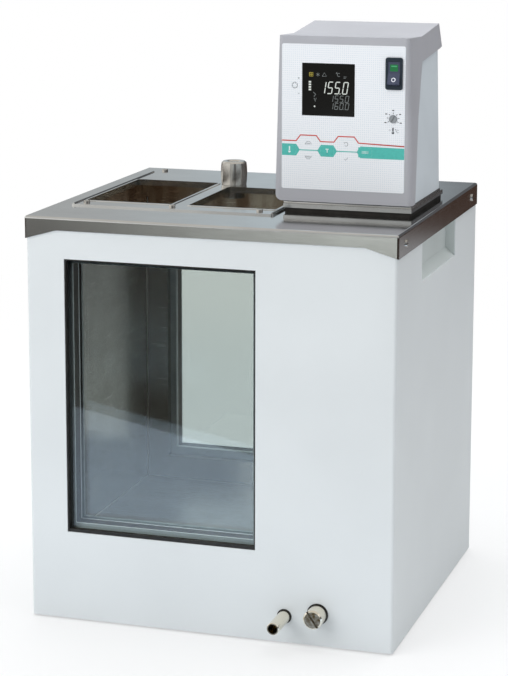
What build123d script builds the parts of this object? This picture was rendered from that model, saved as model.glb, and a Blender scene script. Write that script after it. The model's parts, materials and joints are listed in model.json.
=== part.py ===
from build123d import *
from math import cos, radians, sin, sqrt
import os

os.makedirs("parts", exist_ok=True)

# A laboratory water bath with a viewing window and a control head.
# +X is to the right, +Y to the back and +Z up, in millimetres. The origin lies on
# the worktop, midway between the drain nozzle's tip and the back of the rim.

# Overall size; the windows give the height
rim_width = 365.0
rim_depth = 340.0
foot_proud = 2.0
nozzle_reach = 36.0

# Sheet metal
casing_sheet = 1.2
rim_sheet = 1.5
skirt_sheet = 1.2
skirt_gap = 0.3
tank_sheet = 1.2
cover_sheet = 1.5
base_sheet = 1.5
casing_corner = 3.0
rim_corner = 2.5

# Rim skirt
skirt_depth = 22.0
skirt_front_depth = 12.8
skirt_slant = 32.0
skirt_bend = 14.0

# Windows, the same at the front and the back
window_margin = 38.0
window_sill = 87.0
window_width = 190.0
window_height = 268.0
window_head = 40.0
glass_margin = 12.0
gasket_depth = 5.8
outer_pane_sheet = 4.0
spacer_depth = 16.0
inner_pane_sheet = 5.0
inner_seal_depth = 4.0
gasket_side = 1.5
gasket_sill = 3.0
spacer_side = 3.5
spacer_sill = 4.0
seal_lip = 1.0

# Tank
collar_length = 8.2
side_insulation = 12.0
floor_insulation = 16.0
tank_floor_height = 62.0
insulation_gap = 4.5

# Cover plate over the tank
cover_from_left = 19.5
cover_border = 7.0
cover_right_border = 5.0
cover_front_border = 24.0
cover_from_back = 26.0
opening_from_front = 94.0
long_opening = 146.0
short_opening = 125.0
bar_width = 18.0
hem_width = 2.5
hem_rise = 0.7
hem_round = 0.63
hem_drop = 4.0
opening_corner = 3.0
cut_out_gap = 0.6
rail_radius = 0.9
rail_from_edge = 2.2
rail_length = 226.0
rail_seat = 1.2

# Screws
cover_screw_left = 11.0
cover_screw_right = 18.0
cover_screw_front = 14.0
cover_screw_back = 5.0
cover_screw_head = 3.2
cover_screw_rise = 2.0
cover_screw_shank = 1.6
casing_screw_head = 3.6
casing_screw_rise = 1.4
casing_screw_shank = 2.0
casing_screw_length = 6.0
casing_screw_drop = 11.5
casing_screw_inset = 28.5
panel_screw_inset = 9.0
panel_screw_end = 28.0
panel_return = 16.0
flange_screw_head = 4.2
flange_screw_rise = 3.4
flange_screw_shank = 2.0
flange_screw_side = 7.0
flange_screw_back = 5.0
screw_slot_width = 0.9
screw_slot_depth = 0.8
screw_gap = 0.15
screw_crown = 0.45

# Port and its plug
port_from_bar = 15.8
port_from_opening = 23.0
port_bore = 10.0
port_wall = 2.0
port_drop = 12.0
port_clearance = 0.05
plug_knob_radius = 13.5
plug_knob_height = 24.0
plug_waist = 0.7
plug_dish_radius = 7.0
plug_dish_depth = 1.0
plug_seat_gap = 0.2
plug_edge = 1.6
plug_widest = 14.4

# Hand grips
grip_width = 144.0
grip_height = 39.7
grip_depth = 10.0
grip_slope = 8.0
grip_lip = 4.0
grip_sheet = 1.2
grip_over = 2.0

# Feet
foot_radius = 12.0
foot_inset = 30.0
foot_stem = 4.0
foot_stem_height = 3.0
foot_gap = 0.15

# Drain
nozzle_from_right = 106.5
nozzle_height = 25.5
nozzle_radius = 6.0
nozzle_bore = 4.5
nozzle_thread_radius = 5.4
nozzle_thread = 12.0
nozzle_chamfer = 0.6
drain_pitch = 32.5
drain_screw_height = 31.0
drain_screw_radius = 9.2
drain_screw_length = 18.0
drain_spindle = 5.0
drain_spindle_length = 16.0
drain_clearance = 0.05
drain_slot_width = 2.2
drain_slot_depth = 2.6
drain_slot_turn = 35.0
drain_screw_chamfer = 1.4
drain_end_gap = 1.0
valve_length = 24.0
valve_margin = 5.0
washer_lip = 1.1
washer_sheet = 0.8
pipe_radius = 6.0
pipe_bore = 4.8
pipe_from_front = 55.0
pipe_bend = 14.0
valve_bore = 3.0
valve_bore_drop = 2.8
valve_bore_depth = 14.5

# Control head, from the rim upwards
flange_seal_height = 3.7
flange_height = 4.3
flange_round = 0.8
head_gasket_height = 3.0
cover_gap = 0.5
flange_width = 126.0
flange_depth = 132.0
flange_from_right = 13.0
flange_from_front = 100.0
seal_inset = 1.5
seal_frame = 11.0
gasket_inset = 1.0
head_offset = 3.5
head_overhang = 3.5
head_depth = 126.0
head_foot_half = 67.3
head_top_half = 63.3
head_front_height = 157.5
head_valley_drop = 2.0
head_valley_depth = 49.5
hood_rear_rise = 5.0
hood_rear_depth = 122.3
hood_lip_depth = 133.8
hood_lip_drop = 18.2
hood_under_drop = 19.5
panel_top_drop = 26.0
frame_foot = 15.0
frame_waist = 31.3
frame_waist_height = 79.0
frame_shoulder = 50.0
head_wall = 2.5
head_seam = 0.15
panel_recess = 1.5
head_corner = 4.5
head_foot_corner = 8.0
corner_ease = 0.5
body_corner = 5.0

# Front sheet and what shows through it
sheet_width = 119.8
sheet_height = 138.0
sheet_foot = 12.0
sheet_thickness = 0.7
sheet_proud = 0.2
sheet_corner = 2.0
fit_gap = 0.1
display_x = -14.4
display_height = 107.3
display_width = 51.2
display_tall = 49.5
display_glass = 2.0
display_ledge = 2.2
lcd_depth = 6.0
board_sheet = 1.6
board_width = 92.0
board_tall = 130.0
board_foot = 7.0

# Mains switch
rocker_x = 49.2
rocker_height = 124.4
rocker_bezel_width = 16.4
rocker_bezel_tall = 30.0
rocker_bezel_proud = 1.5
rocker_bezel_corner = 2.2
rocker_body_width = 13.4
rocker_body_tall = 26.0
rocker_body_depth = 20.0
paddle_width = 11.3
paddle_radius = 11.6
paddle_gap = 0.2
paddle_end_gap = 0.3
paddle_pivot_depth = 2.0
paddle_back = 4.0
paddle_dip = 0.3
paddle_rise = 1.8
paddle_tilt = 10.0
paddle_pin = 1.0
paddle_pin_length = 0.7
pin_clearance = 0.08

# Over-temperature adjuster
adjuster_x = 48.6
adjuster_height = 81.9
adjuster_radius = 3.8
adjuster_proud = 1.0
adjuster_slot_turn = -30.0
adjuster_head = 2.5
adjuster_shaft = 1.5
adjuster_shaft_length = 7.0
adjuster_clearance = 0.05
adjuster_end_gap = 0.5
pot_width = 14.0
pot_depth = 9.0

# Keys
key_middle_x = -15.1
key_row_height = 49.4
key_pitch = 18.55
key_step = 7.0
key_width = 13.0
key_tall = 9.0
key_corner = 2.0
key_thickness = 1.3
key_travel = 0.4
key_gap = 0.2
key_stem = 2.0

# Inside the head
chassis_sheet = 1.5
chassis_gap = 0.3
chassis_hole = 5.0
motor_radius = 28.0
motor_height = 60.0
bearing_clearance = 0.05
pump_from_right = 43.5
pump_from_front = 82.0
shaft_radius = 3.0
fan_radius = 24.0
fan_height = 9.0
fan_gap = 3.0
fan_hub = 7.0
fan_blades = 7
blade_sheet = 1.4
blade_lean = 25.0
motor_chamfer = 2.0
main_board_tall = 124.0
main_board_from_front = 22.0
main_board_width = 108.0
transformer_width = 42.0
transformer_depth = 50.0
transformer_height = 42.0
transformer_from_left = 0.0
transformer_gap = 2.0
coil_proud = 5.0
coil_border = 6.0
coil_corner = 4.0
board_part_width = 16.0
board_part_tall = 22.0
board_part_depth = 9.0
inlet_x = -28.0
inlet_height = 30.0
inlet_width = 28.0
inlet_tall = 20.0
inlet_depth = 20.0
inlet_wall = 1.8
inlet_lip = 2.5
inlet_lip_sheet = 2.0
inlet_floor = 3.0
inlet_pin_width = 2.0
inlet_pin_tall = 4.0
inlet_pin_length = 11.0
inlet_pin_pitch = 7.0
inlet_pin_shift = 2.0
vent_count = 7
vent_width = 44.0
vent_tall = 3.0
vent_pitch = 7.0
vent_x = 22.0
vent_height = 60.0

# Below the head, in the tank
pump_tube_radius = 10.0
pump_tube_wall = 1.5
pump_tube_length = 110.0
chamber_radius = 26.0
chamber_wall = 2.0
chamber_height = 26.0
chamber_inlet = 12.0
outlet_radius = 5.0
outlet_length = 14.0
impeller_radius = 20.0
impeller_disc = 2.0
impeller_height = 12.0
impeller_hub = 6.0
impeller_gap = 4.0
vane_count = 6
vane_sheet = 1.6
heater_radius = 4.0
heater_from_left = 22.5
heater_from_front = 24.0
heater_pitch = 22.0
heater_leg = 190.0
half_turn = 180.0
sensor_radius = 2.0
sensor_length = 150.0
sensor_tip = 1.8
sensor_from_right = 21.0
sensor_from_front = 26.0
float_radius = 11.0
float_height = 24.0
float_travel = 12.0
float_clearance = 0.08
float_x = 5.5
float_from_front = 30.0
float_stem_radius = 2.0
float_stem_top = 46.0
float_collar_radius = 5.0
float_collar = 2.5
float_edge = 3.0
float_stop_gap = 0.2
cut_out_side = 14.5

# Places worked out from the sizes above
mid_y = nozzle_reach / 2
front_y = mid_y - rim_depth / 2
back_y = mid_y + rim_depth / 2
half_width = rim_width / 2
rim_top = foot_proud + window_sill + window_height + window_head
deck_z = rim_top - rim_sheet
skirt_z = rim_top - skirt_depth
casing_inset = skirt_sheet + skirt_gap
casing_half = half_width - casing_inset
casing_front = front_y + casing_inset
casing_back = back_y - casing_inset
casing_inner = casing_half - casing_sheet
panel_y = casing_back - casing_sheet

window_left = -casing_half + window_margin
window_x = window_left + window_width / 2
window_z = foot_proud + window_sill + window_height / 2
pane_width = window_width + 2 * glass_margin
pane_height = window_height + 2 * glass_margin
glazing_depth = (
    casing_sheet + gasket_depth + outer_pane_sheet
    + spacer_depth + inner_pane_sheet + inner_seal_depth
)

tank_half = casing_inner - side_insulation - tank_sheet
tank_front = casing_front + glazing_depth + collar_length + tank_sheet
tank_back = casing_back - glazing_depth - collar_length - tank_sheet
tank_y = (tank_front + tank_back) / 2
tank_depth = tank_back - tank_front
tank_floor = foot_proud + tank_floor_height

cover_left = -half_width + cover_from_left
flange_right = half_width - flange_from_right
flange_left = flange_right - flange_width
cover_right = flange_left - cover_gap
first_opening_left = cover_left + cover_border
second_opening_right = cover_right - cover_right_border
opening_width = (second_opening_right - first_opening_left - bar_width) / 2
first_opening_right = first_opening_left + opening_width
second_opening_left = first_opening_right + bar_width
opening_front = front_y + opening_from_front
cover_front = opening_front - cover_front_border
cover_back = back_y - cover_from_back
cover_top = rim_top + cover_sheet
port_x = first_opening_right + port_from_bar
port_y = opening_front + short_opening + port_from_opening
neck_radius = port_bore + port_wall

flange_x = flange_left + flange_width / 2
flange_front = front_y + flange_from_front
flange_y = flange_front + flange_depth / 2
flange_back = flange_front + flange_depth
flange_z = rim_top + flange_seal_height
flange_top = flange_z + flange_height
head_z = flange_top + head_gasket_height
head_x = flange_x - head_offset
head_front = flange_front - head_overhang
head_rear = head_front + head_depth
head_top = head_z + head_front_height
head_slope = (head_foot_half - head_top_half) / head_front_height
sheet_z = head_z + sheet_foot + sheet_height / 2
sheet_face = head_front - sheet_proud
sheet_back = sheet_face + sheet_thickness
wall_back = head_front + head_wall
board_front = sheet_face + display_glass + lcd_depth
pump_x = flange_right - pump_from_right
pump_y = flange_front + pump_from_front

slant_top = rim_top - skirt_front_depth
grip_high = skirt_z + grip_over
grip_low = grip_high - grip_height
grip_z = (grip_low + grip_high) / 2
side_screw_y = rim_depth / 2 - casing_screw_inset
side_screw_z = rim_top - casing_screw_drop
side_screw_places = [(mid_y + side * side_screw_y, side_screw_z) for side in (-1, 1)]
panel_screw_low = foot_proud + panel_screw_end
panel_screw_high = deck_z - panel_screw_end
panel_screw_heights = (panel_screw_low, (panel_screw_low + panel_screw_high) / 2, panel_screw_high)
panel_screw_x = casing_half - panel_screw_inset
panel_screw_places = [(side * panel_screw_x, z) for side in (-1, 1) for z in panel_screw_heights]
foot_x = casing_half - foot_inset
foot_y = (casing_back - casing_front) / 2 - foot_inset
foot_places = [(i * foot_x, mid_y + j * foot_y) for i in (-1, 1) for j in (-1, 1)]
cover_screw_ends = (cover_front + cover_screw_front, cover_back - cover_screw_back)
cover_screw_first = cover_left + cover_screw_left
cover_screw_last = cover_right - cover_screw_right
cover_screw_columns = (cover_screw_first, (cover_screw_first + cover_screw_last) / 2, cover_screw_last)
cover_screw_places = [(x, y) for y in cover_screw_ends for x in cover_screw_columns]
openings = ((first_opening_left, long_opening), (second_opening_left, short_opening))
cut_out_border = hem_width + cut_out_gap
cut_out_left = first_opening_left - cut_out_border
cut_out_right = second_opening_right + cut_out_border
cut_out_x = (cut_out_left + cut_out_right) / 2
cut_out_width = cut_out_right - cut_out_left
cut_out_length = long_opening + 2 * cut_out_border
cut_out_y = opening_front + long_opening / 2
rail_front = cover_front + cover_border / 4
flange_screw_y = flange_back - flange_screw_back
flange_screw_places = [
    (flange_left + flange_screw_side, flange_screw_y),
    (flange_right - flange_screw_side, flange_screw_y),
]
nozzle_x = half_width - nozzle_from_right
nozzle_z = foot_proud + nozzle_height
drain_screw_x = nozzle_x + drain_pitch
drain_screw_z = foot_proud + drain_screw_height
pipe_x = drain_screw_x
pipe_y = casing_front + pipe_from_front
valve_z = drain_screw_z
valve_back = casing_front + casing_sheet + valve_length
valve_left = nozzle_x - nozzle_radius - valve_margin
valve_right = drain_screw_x + drain_spindle + valve_margin
valve_low = nozzle_z - nozzle_radius - valve_margin
valve_high = drain_screw_z + drain_spindle + valve_margin
chassis_top = head_z + chassis_sheet
board_y = head_front + main_board_from_front
motor_top = chassis_top + motor_height
fan_z = motor_top + fan_gap
chamber_top = flange_z - pump_tube_length
chamber_low = chamber_top - chamber_height
impeller_z = chamber_low + chamber_wall + impeller_gap
rocker_place = (head_x + rocker_x, head_z + rocker_height)
adjuster_place = (head_x + adjuster_x, head_z + adjuster_height)
display_place = (head_x + display_x, head_z + display_height)
key_z = head_z + key_row_height
key_places = {
    "key_thermometer": (head_x + key_middle_x - 2 * key_pitch, key_z),
    "key_up": (head_x + key_middle_x - key_pitch, key_z + key_step),
    "key_down": (head_x + key_middle_x - key_pitch, key_z - key_step),
    "key_temperature": (head_x + key_middle_x, key_z),
    "key_return": (head_x + key_middle_x + key_pitch, key_z + key_step),
    "key_accept": (head_x + key_middle_x + key_pitch, key_z - key_step),
    "key_menu": (head_x + key_middle_x + 2 * key_pitch, key_z),
}
part_places = [
    (head_x + i * main_board_width / 4, chassis_top + main_board_tall * share)
    for i in (-1, 0, 1) for share in (0.75, 0.35)
]
inlet_place = (head_x + inlet_x, head_z + inlet_height)
vent_places = [(head_x + vent_x, head_z + vent_height + i * vent_pitch) for i in range(vent_count)]


def front_plane(y):
    """A drawing plane across the bath at y: right is +X, up is +Z, extrudes to -Y."""
    return Plane.XZ.offset(-y)


def side_plane(x):
    """A drawing plane along the bath at x: right is +Y, up is +Z, extrudes to +X."""
    return Plane.YZ.offset(x)


def level(z):
    """A level drawing plane at height z."""
    return Plane.XY.offset(z)


def is_upright(edge):
    """True for a straight edge that rises more than it runs."""
    return edge.geom_type == GeomType.LINE and abs(edge.tangent_at(0).Z) > abs(edge.tangent_at(0).X)


def save(builder, label):
    """Labels a finished piece and writes it."""
    builder.part.label = label
    export_step(builder.part, f"parts/{label}.step")


def make_casing_shell():
    """The painted wrap: front and both sides, with a narrow return behind the rear panel."""
    with BuildPart() as casing_shell:
        with BuildSketch(level(foot_proud)):
            with Locations((0, (casing_front + panel_y) / 2)):
                Rectangle(2 * casing_half, panel_y - casing_front)
        extrude(amount=deck_z - foot_proud)
        front_edges = casing_shell.edges().filter_by(Axis.Z).group_by(Axis.Y)[0]
        fillet(front_edges, casing_corner)
        with BuildSketch(level(foot_proud)):
            with Locations((0, (casing_front + panel_y) / 2)):
                Rectangle(2 * casing_inner, panel_y - casing_front - 2 * casing_sheet)
        extrude(amount=deck_z - foot_proud, mode=Mode.SUBTRACT)
        with BuildSketch(front_plane(panel_y)):
            with Locations((0, (foot_proud + deck_z) / 2)):
                Rectangle(2 * (casing_inner - panel_return), deck_z - foot_proud)
        extrude(amount=2 * casing_sheet, mode=Mode.SUBTRACT)
        with BuildSketch(front_plane(casing_front)):
            with Locations((window_x, window_z)):
                Rectangle(window_width, window_height)
            with Locations((nozzle_x, nozzle_z)):
                Circle(nozzle_thread_radius + screw_gap)
            with Locations((drain_screw_x, drain_screw_z)):
                Circle(drain_spindle + screw_gap)
        extrude(amount=-2 * casing_sheet, mode=Mode.SUBTRACT)
        with BuildSketch(side_plane(-casing_half)):
            with Locations((mid_y, grip_z)):
                Rectangle(grip_width, grip_height)
            with Locations(*side_screw_places):
                Circle(casing_screw_shank + screw_gap)
        extrude(amount=2 * casing_half, mode=Mode.SUBTRACT)
        with BuildSketch(front_plane(panel_y)):
            with Locations(*panel_screw_places):
                Circle(casing_screw_shank + screw_gap)
        extrude(amount=2 * casing_sheet, mode=Mode.SUBTRACT)
    save(casing_shell, "casing_shell")


def make_rear_panel():
    """The flat painted panel at the back, with the rear window's opening."""
    with BuildPart() as rear_panel:
        with BuildSketch(front_plane(casing_back)):
            with Locations((0, (foot_proud + deck_z) / 2)):
                Rectangle(2 * casing_half, deck_z - foot_proud)
            with Locations((window_x, window_z)):
                Rectangle(window_width, window_height, mode=Mode.SUBTRACT)
            with Locations(*panel_screw_places):
                Circle(casing_screw_shank + screw_gap, mode=Mode.SUBTRACT)
        extrude(amount=casing_sheet)
    save(rear_panel, "rear_panel")


def pan_screw(plane, head_radius, rise, shank_radius, length):
    """One slotted pan-head screw whose head stands on the plane; the shank goes behind."""
    with BuildPart() as screw:
        with BuildSketch(plane):
            Circle(head_radius)
        extrude(amount=rise)
        top = screw.faces().sort_by(Axis(plane.origin, plane.z_dir))[-1]
        fillet(top.edges(), rise * screw_crown)
        with BuildSketch(plane.offset(rise - min(screw_slot_depth, rise / 2))):
            Rectangle(2 * head_radius, screw_slot_width)
        extrude(amount=rise, mode=Mode.SUBTRACT)
        with BuildSketch(plane):
            Circle(shank_radius)
        extrude(amount=-length)
    return screw.part


def make_casing_screws():
    """Pan-head screws: two in each side skirt and six in the rear panel."""
    planes = []
    for side in (-1, 1):
        for y, z in side_screw_places:
            origin = (side * half_width, y, z)
            planes.append(Plane(origin=origin, x_dir=(0, 1, 0), z_dir=(side, 0, 0)))
    for x, z in panel_screw_places:
        planes.append(Plane(origin=(x, casing_back, z), x_dir=(1, 0, 0), z_dir=(0, 1, 0)))
    screws = [
        pan_screw(
            plane, casing_screw_head, casing_screw_rise,
            casing_screw_shank, casing_screw_length,
        )
        for plane in planes
    ]
    with BuildPart() as casing_screws:
        add(screws)
    save(casing_screws, "casing_screws")


def make_base_plate():
    """The floor of the casing, with a hole for each foot's stem."""
    with BuildPart() as base_plate:
        with BuildSketch(level(foot_proud)):
            with Locations((0, (casing_front + panel_y) / 2)):
                Rectangle(2 * casing_inner, panel_y - casing_front - 2 * casing_sheet)
            with Locations(*foot_places):
                Circle(foot_stem + foot_gap, mode=Mode.SUBTRACT)
        extrude(amount=base_sheet)
    save(base_plate, "base_plate")


def make_rubber_feet():
    """Four low rubber feet that push into the base plate."""
    with BuildPart() as rubber_feet:
        with BuildSketch(level(0)):
            with Locations(*foot_places):
                Circle(foot_radius)
        extrude(amount=foot_proud)
        with BuildSketch(level(foot_proud)):
            with Locations(*foot_places):
                Circle(foot_stem)
        extrude(amount=base_sheet + foot_stem_height)
    save(rubber_feet, "rubber_feet")


def make_bath_tank():
    """The stainless tank, with a collar round each window opening."""
    outer_half = tank_half + tank_sheet
    with BuildPart() as bath_tank:
        with BuildSketch(level(tank_floor - tank_sheet)):
            with Locations((0, tank_y)):
                Rectangle(2 * outer_half, tank_depth + 2 * tank_sheet)
        extrude(amount=deck_z - tank_floor + tank_sheet)
        with BuildSketch(level(tank_floor)):
            with Locations((0, tank_y)):
                Rectangle(2 * tank_half, tank_depth)
        extrude(amount=deck_z - tank_floor, mode=Mode.SUBTRACT)
        for seat, wall in (
            (casing_front + glazing_depth, tank_front),
            (casing_back - glazing_depth, tank_back),
        ):
            inward = -1 if wall > seat else 1
            with BuildSketch(front_plane(seat)):
                with Locations((window_x, window_z)):
                    Rectangle(window_width + 2 * tank_sheet, window_height + 2 * tank_sheet)
            extrude(amount=inward * (collar_length + tank_sheet / 2))
            with BuildSketch(front_plane(seat)):
                with Locations((window_x, window_z)):
                    Rectangle(pane_width, pane_height)
            extrude(amount=inward * tank_sheet)
            with BuildSketch(front_plane(seat)):
                with Locations((window_x, window_z)):
                    Rectangle(window_width, window_height)
            extrude(amount=inward * (collar_length + 2 * tank_sheet), mode=Mode.SUBTRACT)
        with BuildSketch(level(tank_floor)):
            with Locations((pipe_x, pipe_y)):
                Circle(pipe_bore)
        extrude(amount=-2 * tank_sheet, mode=Mode.SUBTRACT)
    save(bath_tank, "bath_tank")


def make_insulation():
    """Foam slabs on both sides of the tank and under its floor."""
    tank_outer = tank_half + tank_sheet
    tank_bottom = tank_floor - tank_sheet
    slab_x = (tank_outer + casing_inner) / 2
    with BuildPart() as insulation:
        with BuildSketch(level(tank_bottom)):
            with Locations((-slab_x, tank_y), (slab_x, tank_y)):
                Rectangle(casing_inner - tank_outer, tank_depth)
        extrude(amount=grip_low - grip_lip - insulation_gap - tank_bottom)
        with BuildSketch(level(tank_bottom - floor_insulation)):
            with Locations((0, tank_y)):
                Rectangle(2 * tank_half, tank_depth)
            with Locations((pipe_x, pipe_y)):
                Circle(pipe_radius + screw_gap, mode=Mode.SUBTRACT)
        extrude(amount=floor_insulation)
    save(insulation, "insulation")


def make_top_rim():
    """The stainless rim: one folded sheet with a skirt, cut out for the tank and the head."""
    with BuildPart() as top_rim:
        with BuildSketch(level(skirt_z)):
            with Locations((0, mid_y)):
                RectangleRounded(rim_width, rim_depth, rim_corner)
        extrude(amount=skirt_depth)
        fillet(top_rim.faces().sort_by(Axis.Z)[-1].edges(), rim_corner)
        with BuildSketch(level(skirt_z)):
            with Locations((0, mid_y)):
                Rectangle(rim_width - 2 * skirt_sheet, rim_depth - 2 * skirt_sheet)
        extrude(amount=skirt_depth - rim_sheet, mode=Mode.SUBTRACT)
        slant_x = half_width - skirt_slant
        with BuildSketch(front_plane(front_y - skirt_sheet)):
            with BuildLine():
                FilletPolyline(
                    (-half_width, skirt_z),
                    (-slant_x, slant_top),
                    (slant_x, slant_top),
                    (half_width, skirt_z),
                    radius=skirt_bend,
                )
                Line((half_width, skirt_z), (-half_width, skirt_z))
            make_face()
        extrude(amount=-3 * skirt_sheet, mode=Mode.SUBTRACT)
        with BuildSketch(level(deck_z)):
            with Locations((cut_out_x, cut_out_y)):
                Rectangle(cut_out_width, cut_out_length)
            with Locations((port_x, port_y)):
                Circle(neck_radius + cut_out_gap)
            with Locations((flange_x, flange_y)):
                Rectangle(flange_width - 2 * cut_out_side, flange_depth - 2 * cut_out_side)
            with Locations(*cover_screw_places):
                Circle(cover_screw_shank + screw_gap)
            with Locations(*flange_screw_places):
                Circle(flange_screw_shank + screw_gap)
        extrude(amount=2 * rim_sheet, mode=Mode.SUBTRACT)
        with BuildSketch(side_plane(-half_width)):
            with Locations(*side_screw_places):
                Circle(casing_screw_shank + screw_gap)
        extrude(amount=rim_width, mode=Mode.SUBTRACT)
    save(top_rim, "top_rim")


def make_bath_cover():
    """The cover plate: two hemmed openings, a neck for the port and a rail at each side."""
    neck_foot = rim_top - port_drop
    with BuildPart() as bath_cover:
        with BuildSketch(level(rim_top)):
            with Locations(((cover_left + cover_right) / 2, (cover_front + cover_back) / 2)):
                RectangleRounded(cover_right - cover_left, cover_back - cover_front, opening_corner)
        extrude(amount=cover_sheet)
        for left, length in openings:
            place = (left + opening_width / 2, opening_front + length / 2)
            with BuildSketch(level(rim_top - hem_drop)):
                with Locations(place):
                    RectangleRounded(
                        opening_width + 2 * hem_width, length + 2 * hem_width,
                        opening_corner + hem_width,
                    )
            extrude(amount=hem_drop + cover_sheet + hem_rise)
        hems = bath_cover.faces().group_by(Axis.Z)[-1]
        fillet([edge for face in hems for edge in face.outer_wire().edges()], hem_round)
        for left, length in openings:
            place = (left + opening_width / 2, opening_front + length / 2)
            with BuildSketch(level(rim_top - 2 * hem_drop)):
                with Locations(place):
                    RectangleRounded(opening_width, length, opening_corner)
            extrude(amount=4 * hem_drop, mode=Mode.SUBTRACT)
        with BuildSketch(level(neck_foot)):
            with Locations((port_x, port_y)):
                Circle(neck_radius)
        extrude(amount=port_drop)
        with BuildSketch(level(neck_foot)):
            with Locations((port_x, port_y)):
                Circle(port_bore)
        extrude(amount=port_drop + cover_sheet, mode=Mode.SUBTRACT)
        with BuildSketch(level(rim_top)):
            with Locations(*cover_screw_places):
                Circle(cover_screw_shank + screw_gap)
        extrude(amount=cover_sheet, mode=Mode.SUBTRACT)
        for x in (cover_left + rail_from_edge, cover_right - rail_from_edge):
            with BuildSketch(front_plane(rail_front)):
                with Locations((x, cover_top + rail_radius - rail_seat / 2)):
                    Circle(rail_radius)
            extrude(amount=-rail_length)
    save(bath_cover, "bath_cover")


def make_cover_screws():
    """Six small screws that hold the cover plate down on the rim."""
    screws = [
        pan_screw(
            Plane(origin=(x, y, cover_top)), cover_screw_head, cover_screw_rise,
            cover_screw_shank, cover_sheet + rim_sheet + cover_screw_rise,
        )
        for x, y in cover_screw_places
    ]
    with BuildPart() as cover_screws:
        add(screws)
    save(cover_screws, "cover_screws")


def make_port_plug():
    """The turned stainless plug of the port: a knob on a stem that fits the neck."""
    knob_foot = cover_top + plug_seat_gap
    knob_top = knob_foot + plug_knob_height
    stem_radius = port_bore - port_clearance
    waist_radius = plug_knob_radius - plug_waist
    plug_dish_floor = plug_dish_radius - plug_dish_depth
    with BuildPart() as port_plug:
        with BuildSketch(Plane(origin=(port_x, port_y, 0), x_dir=(1, 0, 0), z_dir=(0, -1, 0))):
            with BuildLine():
                Line((0, rim_top - port_drop), (stem_radius, rim_top - port_drop))
                Line((stem_radius, rim_top - port_drop), (stem_radius, knob_foot))
                Line((stem_radius, knob_foot), (waist_radius, knob_foot))
                knob_side = ThreePointArc(
                    (waist_radius, knob_foot),
                    (plug_knob_radius, knob_foot + plug_widest),
                    (waist_radius, knob_top - plug_edge),
                )
                Line(knob_side @ 1, (waist_radius - plug_edge, knob_top))
                Line((waist_radius - plug_edge, knob_top), (plug_dish_radius, knob_top))
                Line((plug_dish_radius, knob_top), (plug_dish_floor, knob_top - plug_dish_depth))
                Line((plug_dish_floor, knob_top - plug_dish_depth), (0, knob_top - plug_dish_depth))
                Line((0, knob_top - plug_dish_depth), (0, rim_top - port_drop))
            make_face()
        revolve(axis=Axis((port_x, port_y, 0), (0, 0, 1)))
    save(port_plug, "port_plug")


def make_grip_cup(label, side):
    """A pressed cup behind the casing's side, with a floor that slopes up and inwards."""
    mouth_x = casing_inner
    back_x = casing_half - grip_depth
    low = grip_z - grip_height / 2
    high = grip_z + grip_height / 2
    with BuildPart() as grip_cup:
        with BuildSketch(front_plane(mid_y)):
            with BuildLine():
                Polyline(
                    (mouth_x, low - grip_sheet),
                    (back_x - grip_sheet, low + grip_slope - grip_sheet),
                    (back_x - grip_sheet, high + grip_sheet),
                    (mouth_x, high + grip_sheet),
                    close=True,
                )
            make_face()
        extrude(amount=grip_width / 2 + grip_sheet, both=True)
        with BuildSketch(side_plane(mouth_x - grip_sheet)):
            with Locations((mid_y, grip_z)):
                Rectangle(grip_width + 2 * grip_lip, grip_height + 2 * grip_lip)
        extrude(amount=grip_sheet)
        with BuildSketch(front_plane(mid_y)):
            with BuildLine():
                Polyline(
                    (mouth_x, low),
                    (back_x, low + grip_slope),
                    (back_x, high),
                    (mouth_x, high),
                    close=True,
                )
            make_face()
        extrude(amount=grip_width / 2, both=True, mode=Mode.SUBTRACT)
        if side < 0:
            mirror(about=Plane.YZ, mode=Mode.REPLACE)
    save(grip_cup, label)


def make_panes():
    """Four panes of glass: an outer and an inner one at the front and at the back."""
    for end, y, direction in (("front", casing_front, 1), ("rear", casing_back, -1)):
        outer_face = y + direction * (casing_sheet + gasket_depth)
        inner_face = outer_face + direction * (outer_pane_sheet + spacer_depth)
        for name, face, sheet in (
            ("outer", outer_face, outer_pane_sheet),
            ("inner", inner_face, inner_pane_sheet),
        ):
            with BuildPart() as pane:
                with BuildSketch(front_plane(face)):
                    with Locations((window_x, window_z)):
                        Rectangle(pane_width, pane_height)
                extrude(amount=-direction * sheet)
            save(pane, f"{end}_{name}_pane")


def make_window_frames(label, start, depth, side, sill):
    """A pair of frames, one at each window. Each starts at start behind the casing's face."""
    sight_height = window_height - side - sill
    with BuildPart() as frames:
        for y, direction in ((casing_front, 1), (casing_back, -1)):
            with BuildSketch(front_plane(y + direction * start)):
                with Locations((window_x, window_z)):
                    Rectangle(pane_width, pane_height)
                with Locations((window_x, window_z + (sill - side) / 2)):
                    Rectangle(window_width - 2 * side, sight_height, mode=Mode.SUBTRACT)
            extrude(amount=-direction * depth)
    save(frames, label)


def make_window_seals():
    """The black gaskets, the spacer bars and the inner seals of both windows."""
    spacer_start = casing_sheet + gasket_depth + outer_pane_sheet
    seal_start = spacer_start + spacer_depth + inner_pane_sheet
    edge = gasket_side + spacer_side
    low = gasket_sill + spacer_sill
    make_window_frames("window_gaskets", casing_sheet, gasket_depth, gasket_side, gasket_sill)
    make_window_frames("window_spacers", spacer_start, spacer_depth, edge, low)
    make_window_frames(
        "window_inner_seals", seal_start, inner_seal_depth, edge + seal_lip, low + seal_lip
    )


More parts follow.
